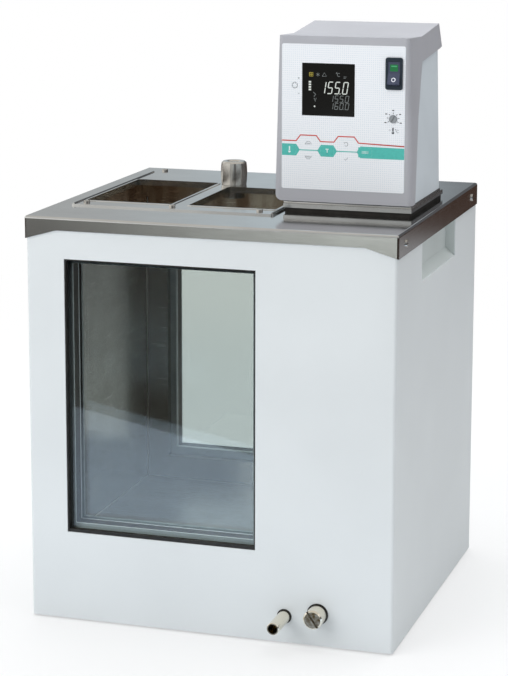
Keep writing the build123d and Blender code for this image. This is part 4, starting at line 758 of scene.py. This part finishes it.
# %% Key symbols
SYMBOL = 0.45
cap_up = [
    [(-3.4, -1.2), (-1.2, 1.3), (1.2, 1.3), (3.4, -1.2), (-3.4, -1.2)], [(-1.7, -0.4), (1.7, -0.4)],
]
cap_down = [[(x, -z) for x, z in line] for line in cap_up]
set_mark = [[(-1.6, 1.6), (1.6, 1.6)], [(0.0, 1.6), (0.0, -1.8)]]
arrow_back = [arc(0.0, 0.0, 1.7, -140, 125), [(-2.3, 1.9), (-0.9, 1.45), (-1.9, 0.5)]]
tick = [[(-1.6, 0.0), (-0.5, -1.2), (1.8, 1.3)]]
bars = [[(-3.4, z), (3.4, z)] for z in (-0.9, 0.0, 0.9)]
for name, symbol, lines, width in (
    ("key_up", "up_symbol", cap_up, SYMBOL), ("key_down", "down_symbol", cap_down, SYMBOL),
    ("key_temperature", "set_symbol", set_mark, 0.85),
    ("key_return", "return_symbol", arrow_back, SYMBOL),
    ("key_accept", "accept_symbol", tick, SYMBOL), ("key_menu", "menu_symbol", bars, 0.32),
):
    finish, lift = (pale, INK * 1.5) if name in teal_keys else (grey, INK / 2)
    print_on_key(drawn(symbol, lines, width), name, finish, lift)
thermometer = [rounded_box(0.0, 0.9, 1.2, 4.6, 0.6), ring(0.0, -1.9, 1.15)]
print_on_key(filled("thermometer_symbol", thermometer), "key_thermometer", pale, INK * 1.5)

# %% [markdown]
# Round the adjuster five bars and seven pointers make its scale, with a thermometer below
# it. Left of the display stands a small fan between a plus and a minus, for the pump's speed.

# %% Scale and pump symbol
MARK_RADIUS = 8.1
POINTER_START = 4.6
POINTER_END = 6.2
SYMBOL_DROP = 11.2
FAN_GAP = 7.2
FAN_RISE = 3.4
adjuster_x, adjuster_z = middle_of("adjuster_screw")
spots = [arc(adjuster_x, adjuster_z, MARK_RADIUS, a, a, 1)[0] for a in (90, 35, 145, -25, 205)]
marks = [[(x - 1.0, z), (x + 1.0, z)] for x, z in spots]
print_on_sheet(drawn("scale_marks", marks, 0.95), dark)
reaches = (POINTER_START, POINTER_END)
pointers = zip(*[arc(adjuster_x, adjuster_z, r, -30, 210, 6) for r in reaches])
print_on_sheet(drawn("scale_pointers", pointers, 0.55), dark)
under = adjuster_z - SYMBOL_DROP
print_on_sheet(filled("limit_symbol", [
    rounded_box(adjuster_x, under + 1.0, 1.3, 4.4, 0.6), ring(adjuster_x, under - 1.6, 1.25),
]), dark)
print_on_sheet(drawn("limit_unit", [
    arc(adjuster_x + 4.6, under - 0.2, 1.3, 45, 315), ring(adjuster_x + 2.6, under + 1.3, 0.4, 10),
    [(adjuster_x - 4.2, under + 0.8), (adjuster_x - 2.0, under + 0.8)],
], 0.38), grey)
display_x, display_z = middle_of("display_glass")
fan_x, fan_z = span("display_glass")[0].x - FAN_GAP, display_z + FAN_RISE
hubs = arc(fan_x, fan_z, 1.5, 30, 330, 5)
blades = [arc(x, z, 1.4, i * 60 - 50, i * 60 + 140) for i, (x, z) in enumerate(hubs)]
print_on_sheet(drawn("pump_symbol", blades, 0.5), grey)
print_on_sheet(drawn("pump_scale", [
    [(fan_x + 3.0, fan_z + 6.8), (fan_x + 4.6, fan_z + 6.8)],
    [(fan_x + 3.8, fan_z + 6.0), (fan_x + 3.8, fan_z + 7.6)],
    [(fan_x + 3.0, fan_z - 7.6), (fan_x + 4.6, fan_z - 7.6)],
], 0.5), grey)

# %% [markdown]
# The display shows three numbers in slanted seven-segment figures: the actual temperature
# large and bright, and two set values small and dim. A figure is seven bars with pointed
# ends, and a table says which of them are lit. Small pictograms stand above and beside them.

# %% Seven-segment figures
LIT = {"0": "abcdef", "1": "bc", "5": "acdfg", "6": "acdefg"}
LEAN = 0.16


def bar(x, z, length, thick, upright):
    """The loop of one segment, pointed at both ends."""
    half, tip = length / 2, thick / 2
    inner = half - tip
    loop = [(-half, 0.0), (-inner, tip), (inner, tip), (half, 0.0), (inner, -tip), (-inner, -tip)]
    return [(x + b, z + a) if upright else (x + a, z + b) for a, b in loop]


def figure(digit, x, z, width, height, thick):
    """The loops of one digit whose lower left corner is at x, z."""
    gap = 0.12 * thick
    side = height / 2 - gap
    across = width - gap
    segments = {
        "a": (width / 2, height, across, False), "g": (width / 2, height / 2, across, False),
        "d": (width / 2, 0.0, across, False), "b": (width, height * 0.75, side, True),
        "c": (width, height * 0.25, side, True), "e": (0.0, height * 0.25, side, True),
        "f": (0.0, height * 0.75, side, True),
    }
    loops = []
    for name in LIT[digit]:
        at_x, at_z, length, upright = segments[name]
        loop = bar(at_x, at_z, length, thick, upright)
        loops.append([(x + a + LEAN * b, z + b) for a, b in loop])
    return loops


def number(text, right, z, width, height, thick, pitch):
    """The loops of a number that ends at right."""
    loops = []
    x = right - width - LEAN * height
    for character in reversed(text):
        if character == ".":
            x -= thick
            dot_x = x + (pitch + width) / 2
            loops.append(rounded_box(dot_x, z, thick, thick, thick * 0.3, 3))
        else:
            loops += figure(character, x, z, width, height, thick)
            x -= pitch
    return loops


def show(mesh, finish):
    """Lays lit shapes, drawn about the display's centre, on the display."""
    lay_on(mesh, "display_glass", (display_x, display_z), finish, "bath")


for name, text, right, z, width, height, thick, pitch, finish in (
    ("actual_value", "155.0", 19.6, -3.5, 4.2, 10.9, 0.9, 6.9, bright),
    ("set_value", "155.0", 20.3, -11.3, 3.0, 5.9, 0.45, 4.9, dim),
    ("limit_value", "160.0", 20.3, -18.2, 3.0, 5.8, 0.45, 4.9, dim),
):
    show(filled(name, number(text, right, z, width, height, thick, pitch)), finish)
blocks = [rounded_box(-18.0, z, 2.4, 1.6, 0.2, 2) for z in (7.0, 4.6, 2.2, -0.2)]
show(filled("level_blocks", blocks), bright)
show(drawn("heating_symbol", [
    [(-18.5, 15.8), (-15.1, 15.8), (-15.1, 12.4), (-18.5, 12.4), (-18.5, 15.8)],
    [(-18.5, 14.1), (-15.1, 14.1)], [(-16.8, 15.8), (-16.8, 12.4)],
], 0.7), amber)
flake = [[(-10.2 + r * cos(radians(a)), 14.1 + r * sin(radians(a))) for r in (-1.8, 1.8)]
         for a in (30, 90, 150)]
show(drawn("cooling_symbol", flake, 0.35), dim)
show(drawn("warning_symbol", [[(-6.0, 12.6), (-3.9, 16.0), (-1.8, 12.6), (-6.0, 12.6)]], 0.4), dim)
show(drawn("degree_symbol", [
    ring(8.0, 15.9, 0.5, 10) + [(8.5, 15.9)], arc(10.2, 14.3, 1.5, 50, 310),
    [(14.8, 12.6), (17.6, 12.6)], [(14.8, 11.4), (16.9, 11.4)],
], 0.38), dim)
show(drawn("stage_symbol", [
    [(-14.6, -2.6), (-12.2, -4.6), (-14.0, -6.8)], [(-13.8, -8.0), (-12.8, -11.6), (-11.8, -8.0)],
], 0.5), dim)
show(filled("stage_dot", [ring(-13.3, -16.0, 0.8, 12)]), bright)

# %% [markdown]
# The rocker has a green lamp window in its upper half, with the bar that means on, and a
# ring for off in its lower half. Both are moulded into the paddle, so they ride on it.

# %% Marks on the rocker
paddle_x, paddle_z = middle_of("rocker_paddle")
for mesh, rise, finish, lift in (
    (filled("rocker_lamp", [rounded_box(0.0, 0.0, 7.6, 6.4, 0.6)]), 5.4, lamp, INK / 2),
    (filled("rocker_on_mark", [rounded_box(0.0, 0.0, 5.4, 1.0, 0.3)]), 7.0, on_mark, INK * 1.5),
    (drawn("rocker_off_mark", [ring(0.0, 0.0, 1.7)], 0.8, closed=True), -5.4, white_mark, INK / 2),
):
    spot = (paddle_x, paddle_z + rise)
    lay_on(mesh, "rocker_paddle", spot, finish, "mains_rocker", lift)

# %% [markdown]
# The tank is folded from sheet, and its corners are welded and brushed over. A bead runs along each
# inner corner, pale and only partly metallic, so it paints the thin bright highlight that shows
# where floor and walls meet. Each bead is a round line drawn in space through the corners of the
# tank.

# %% Weld beads in the tank, with a painted highlight
BEAD = 1.3
TANK_HALF = 166.6
TANK_FRONT = -105.1
TANK_REAR = 141.1
TANK_FLOOR = 64.0
BEAD_TOP = 372.0
# the pale colour and a Metallic of 0.6 paint the bright highlight line along the corners
weld_painted_highlight = turned_metal("weld_bead_painted_highlight", "#E6E6E4", 0.3)
plug(weld_painted_highlight.node_tree.nodes["Principled BSDF"], {"Metallic": 0.6})


def bead(name, points):
    """A weld bead drawn through points in mm, on the bath."""
    add_piece(drawn(name, [points], BEAD, thickness=BEAD), weld_painted_highlight, "bath")


for side, x in (("left", -TANK_HALF), ("right", TANK_HALF)):
    bead("weld_floor_" + side, [(x, TANK_FRONT, TANK_FLOOR), (x, TANK_REAR, TANK_FLOOR)])
    for end, y in (("front", TANK_FRONT), ("rear", TANK_REAR)):
        bead(f"weld_{end}_{side}", [(x, y, TANK_FLOOR), (x, y, BEAD_TOP)])
for end, y in (("front", TANK_FRONT), ("rear", TANK_REAR)):
    bead("weld_floor_" + end, [(-TANK_HALF, y, TANK_FLOOR), (TANK_HALF, y, TANK_FLOOR)])

# %% [markdown]
# Between the flange and the head stands a steel step, a little lower than the black gasket
# behind it, which leaves a thin dark line under the head. It is a flat ring, filled like
# the printed shapes but 3 mm thick, and it closes round the gasket.

# %% Steel step under the head
STEP_LOW = 404.5
STEP_HIGH = 407.5
STEP_WIDTH = 0.7
STEP_LAP = 0.05
gasket_low, gasket_high = span("head_gasket")
middle = (gasket_low + gasket_high) / 2
wide, deep = gasket_high.x - gasket_low.x, gasket_high.y - gasket_low.y
step = filled("flange_step", [
    rounded_box(middle.x, middle.y, wide + 2 * STEP_WIDTH, deep + 2 * STEP_WIDTH, 0.6, 3),
    rounded_box(middle.x, middle.y, wide - 2 * STEP_LAP, deep - 2 * STEP_LAP, 0.05, 1),
], STEP_HIGH - STEP_LOW)
step.transform(Matrix.Translation((0.0, 0.0, (STEP_LOW + STEP_HIGH) / 2 * MM)))
add_piece(step, finishes["stainless"], "bath")
print("step under the head:", round(wide, 1), "by", round(deep, 1), "mm inside")

# %% [markdown]
# Last comes the studio. The floor is a plain pale sweep, bright to the camera, and still
# dark enough elsewhere to take the bath's shadow. Polished steel shows what stands round it:
# for glossy rays the room beyond the paper is brown and dim, as a workshop would be.

# %% Floor
FLOOR_SIZE = 60.0
floor_mesh = bpy.data.meshes.new("floor")
floor_form = bmesh.new()
bmesh.ops.create_grid(floor_form, x_segments=1, y_segments=1, size=FLOOR_SIZE / 2)
floor_form.to_mesh(floor_mesh)
floor_form.free()
floor = bpy.data.objects.new("floor", floor_mesh)
scene.collection.objects.link(floor)
floor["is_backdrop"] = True
print("floor of", FLOOR_SIZE, "m")

# %% [markdown]
# The paper is white to the camera. Through the glass it is dimmer, and bluish grey close behind the
# bath, where the dimming is a painted shadow of the bath. In mirrors it is blue-white near the
# bath, and gives way to the dim brown room beyond its front edge, which runs aslant, and two metres
# off on the other sides. The front edge is the pale line across the window. A bright screen far in
# front shows in the right half of the front skirt.

# %% Paper sweep
def mirror_ray(tree, ray):
    """One for light that a mirror or a pane has thrown back, even if it left through glass."""
    thrown = node(tree, "Math", {0: ray.outputs["Glossy Depth"], 1: 0.5}, operation="GREATER_THAN")
    return node(
        tree, "Math", {0: thrown, 1: ray.outputs["Is Diffuse Ray"]},
        operation="SUBTRACT", use_clamp=True,
    ).outputs[0]


FIBRE = 3.0
paper, tree, shader, place = new_finish("paper_sweep", Roughness=0.9, Base_Color="#E9EAEB")
plug(shader, {"Normal": fine_relief(tree, place, FIBRE, 4.0, 0.1, 0.1)})
ray = node(tree, "LightPath")
through = ray.outputs["Is Transmission Ray"]
seen = node(tree, "Math", {0: ray.outputs["Is Camera Ray"], 1: through}, operation="MAXIMUM")
away = node(tree, "SeparateXYZ", {"Vector": place})
across, deep = away.outputs["X"], away.outputs["Y"]
distance = node(tree, "VectorMath", {0: place}, operation="LENGTH").outputs["Value"]

# %% [markdown]
# The zones of the paper are soft ramps over places in millimetres, so one table holds them
# all: what is measured, where the ramp starts and ends, and its value at both ends.

# %% Zones of the paper
EDGE_TURN = -0.533
EDGE_PLACE = -672.0
steps = {"through": through, "seen": seen.outputs[0], "across": across, "deep": deep}
for name, measure, start, end, low, high in (
    ("bare", distance, 500.0, 1700.0, 0.5, 1.0), ("behind", deep, 250.0, 1500.0, 0.0, 1.0),
    ("in_front", deep, -100.0, -300.0, 0.0, 1.0), ("far", distance, 500.0, 1700.0, 0.0, 1.0),
    ("past", distance, 2090.0, 2230.0, 0.0, 1.0), ("near", distance, 1300.0, 700.0, 0.0, 0.8),
    ("screen_deep", deep, -1950.0, -2120.0, 0.0, 1.0),
    ("screen_left", across, -1150.0, -430.0, 0.18, 1.0),
    ("screen_right", across, 950.0, 700.0, 0.0, 1.0),
):
    steps[name] = node(
        tree, "MapRange", {"Value": measure, "From": (start, end), "To": (low, high)},
        interpolation_type="SMOOTHSTEP",
    ).outputs[0]
for name, operation, first, second, third in (
    ("shown", "MULTIPLY", "seen", "bare", 0.0),
    ("line", "MULTIPLY_ADD", "across", EDGE_TURN, "deep"),
    ("beyond", "LESS_THAN", "line", EDGE_PLACE, 0.0),
    ("screen_side", "MULTIPLY", "screen_left", "screen_right", 0.0),
    ("screen", "MULTIPLY", "screen_deep", "screen_side", 0.0),
    ("shine", "MULTIPLY_ADD", "in_front", "near", 1.0),
):
    terms = [steps.get(term, term) for term in (first, second, third)]
    steps[name] = node(tree, "Math", dict(enumerate(terms)), operation=operation).outputs[0]
print("zones of the paper:", ", ".join(steps))

# %% [markdown]
# The tones are blended the same way, from a table in order. A name stands for a tone that
# was blended before it, and a hexadecimal value for a plain colour.

# %% Tones of the paper
tones = {}
for name, factor, first, second in (
    # through the glass the paper close behind the bath is painted darker: a painted shadow of the
    # bath
    ("through_glass", "behind", "#B4C3C6", "#EEF0EE"),
    ("plain", "through", "#FFFFFF", "through_glass"),
    ("room", "screen", "#372E29", "#F8FFFB"), ("near", "in_front", "#C6C8C9", "#C8DCF2"),
    ("fading", "far", "near", "#98989A"), ("back", "past", "fading", "#44352E"),
    ("mirrored", "beyond", "back", "room"),
):
    pair = {"A": tones.get(first, first), "B": tones.get(second, second)}
    mix = node(tree, "Mix", {"Factor": steps[factor], **pair}, data_type="RGBA")
    tones[name] = mix.outputs["Result"]
white = node(tree, "Emission", {"Color": tones["plain"], "Strength": 1.0})
lit = node(tree, "MixShader", {0: steps["shown"], 1: shader, 2: white})
mirror = node(tree, "Emission", {"Color": tones["mirrored"], "Strength": steps["shine"]})
both = node(tree, "MixShader", {0: mirror_ray(tree, ray), 1: lit, 2: mirror})
plug(tree.nodes["Material Output"], {"Surface": both})
floor_mesh.materials.append(paper)
print("tones of the paper:", ", ".join(tones))

# %% [markdown]
# Three large soft lamps light the bath: a key from the front left, a weak one from the
# right, so that the right side stays a quarter darker than the front, and one overhead.
# The key and the top lamp stay out of mirrors, where they would burn white lines along
# every rounded edge; the world has a window and a ceiling for those.

# %% Lamps
LAMP_TARGET = Vector((0.0, 0.0, 0.25))
for name, place, size, power, mirrored in (
    ("key_lamp", (-1.5, -2.2, 1.7), 2.2, 43.0, False),
    ("side_lamp", (2.2, -1.0, 1.3), 1.2, 2.5, True),
    ("top_lamp", (0.1, 0.6, 2.6), 3.0, 66.0, False),
):
    data = bpy.data.lights.new(name, "AREA")
    data.size = size
    data.energy = power
    lamp_object = bpy.data.objects.new(name, data)
    lamp_object.location = place
    aim = LAMP_TARGET - Vector(place)
    lamp_object.rotation_euler = aim.to_track_quat("-Z", "Y").to_euler()
    lamp_object.visible_camera = False
    lamp_object.visible_glossy = mirrored
    scene.collection.objects.link(lamp_object)
    print(name, "gives", power, "W from", round(aim.length, 2), "m")

# %% [markdown]
# The world is an even grey light for painted surfaces, white behind the bath, and a room
# for mirrors: a pale wall on the left and a dark slate one on the right, a bright window at
# the front left and a pale ceiling. The dark wall's edge lies about 12 degrees left of
# straight ahead, and darkens the right end of the deck.

# %% World
world = bpy.data.worlds.new("studio")
scene.world = world
world.use_nodes = True
tree = world.node_tree
tree.nodes.clear()
ray = node(tree, "LightPath")
direction = node(tree, "TexCoord")
way = node(tree, "SeparateXYZ", {"Vector": direction.outputs["Generated"]})
WALL_SIDE = 0.27
sideways = node(
    tree, "Math", {0: way.outputs["Y"], 1: WALL_SIDE, 2: way.outputs["X"]}, operation="MULTIPLY_ADD"
).outputs[0]
walls = {"camera": ray.outputs["Is Camera Ray"], "through": ray.outputs["Is Transmission Ray"]}
walls["mirrored"] = mirror_ray(tree, ray)
for name, measure, start, end in (
    ("window", sideways, -0.5, -0.64), ("left", sideways, -0.14, 0.0),
    ("right", sideways, -0.03, 0.1), ("up", way.outputs["Z"], 0.35, 0.8),
):
    walls[name] = node(
        tree, "MapRange", {"Value": measure, "From": (start, end)},
        interpolation_type="SMOOTHSTEP",
    ).outputs[0]
tones = {}
for name, factor, first, second in (
    ("bright", "window", "#AEB1B2", "#FAFAF8"), ("pale", "left", "bright", "#BDC9D0"),
    ("wall", "right", "pale", "#5C5D60"), ("ceiling", "up", "wall", "#D0CECA"),
    ("plain", "camera", "#BFC0C1", "#FFFFFF"), ("dimmed", "through", "plain", "#EEF0EE"),
    ("all", "mirrored", "dimmed", "ceiling"),
):
    pair = {"A": tones.get(first, first), "B": tones.get(second, second)}
    mix = node(tree, "Mix", {"Factor": walls[factor], **pair}, data_type="RGBA")
    tones[name] = mix.outputs["Result"]
light = node(tree, "Background", {"Color": tones["all"], "Strength": 1.0})
node(tree, "OutputWorld", {"Surface": light})
print("tones of the world:", ", ".join(tones))

# %% [markdown]
# The box of the dressed bath is measured at the end, as the box of the imported model was at the
# start. They have to agree, since a finish adds no size.

# %% Measure the sizes and finish
low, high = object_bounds()
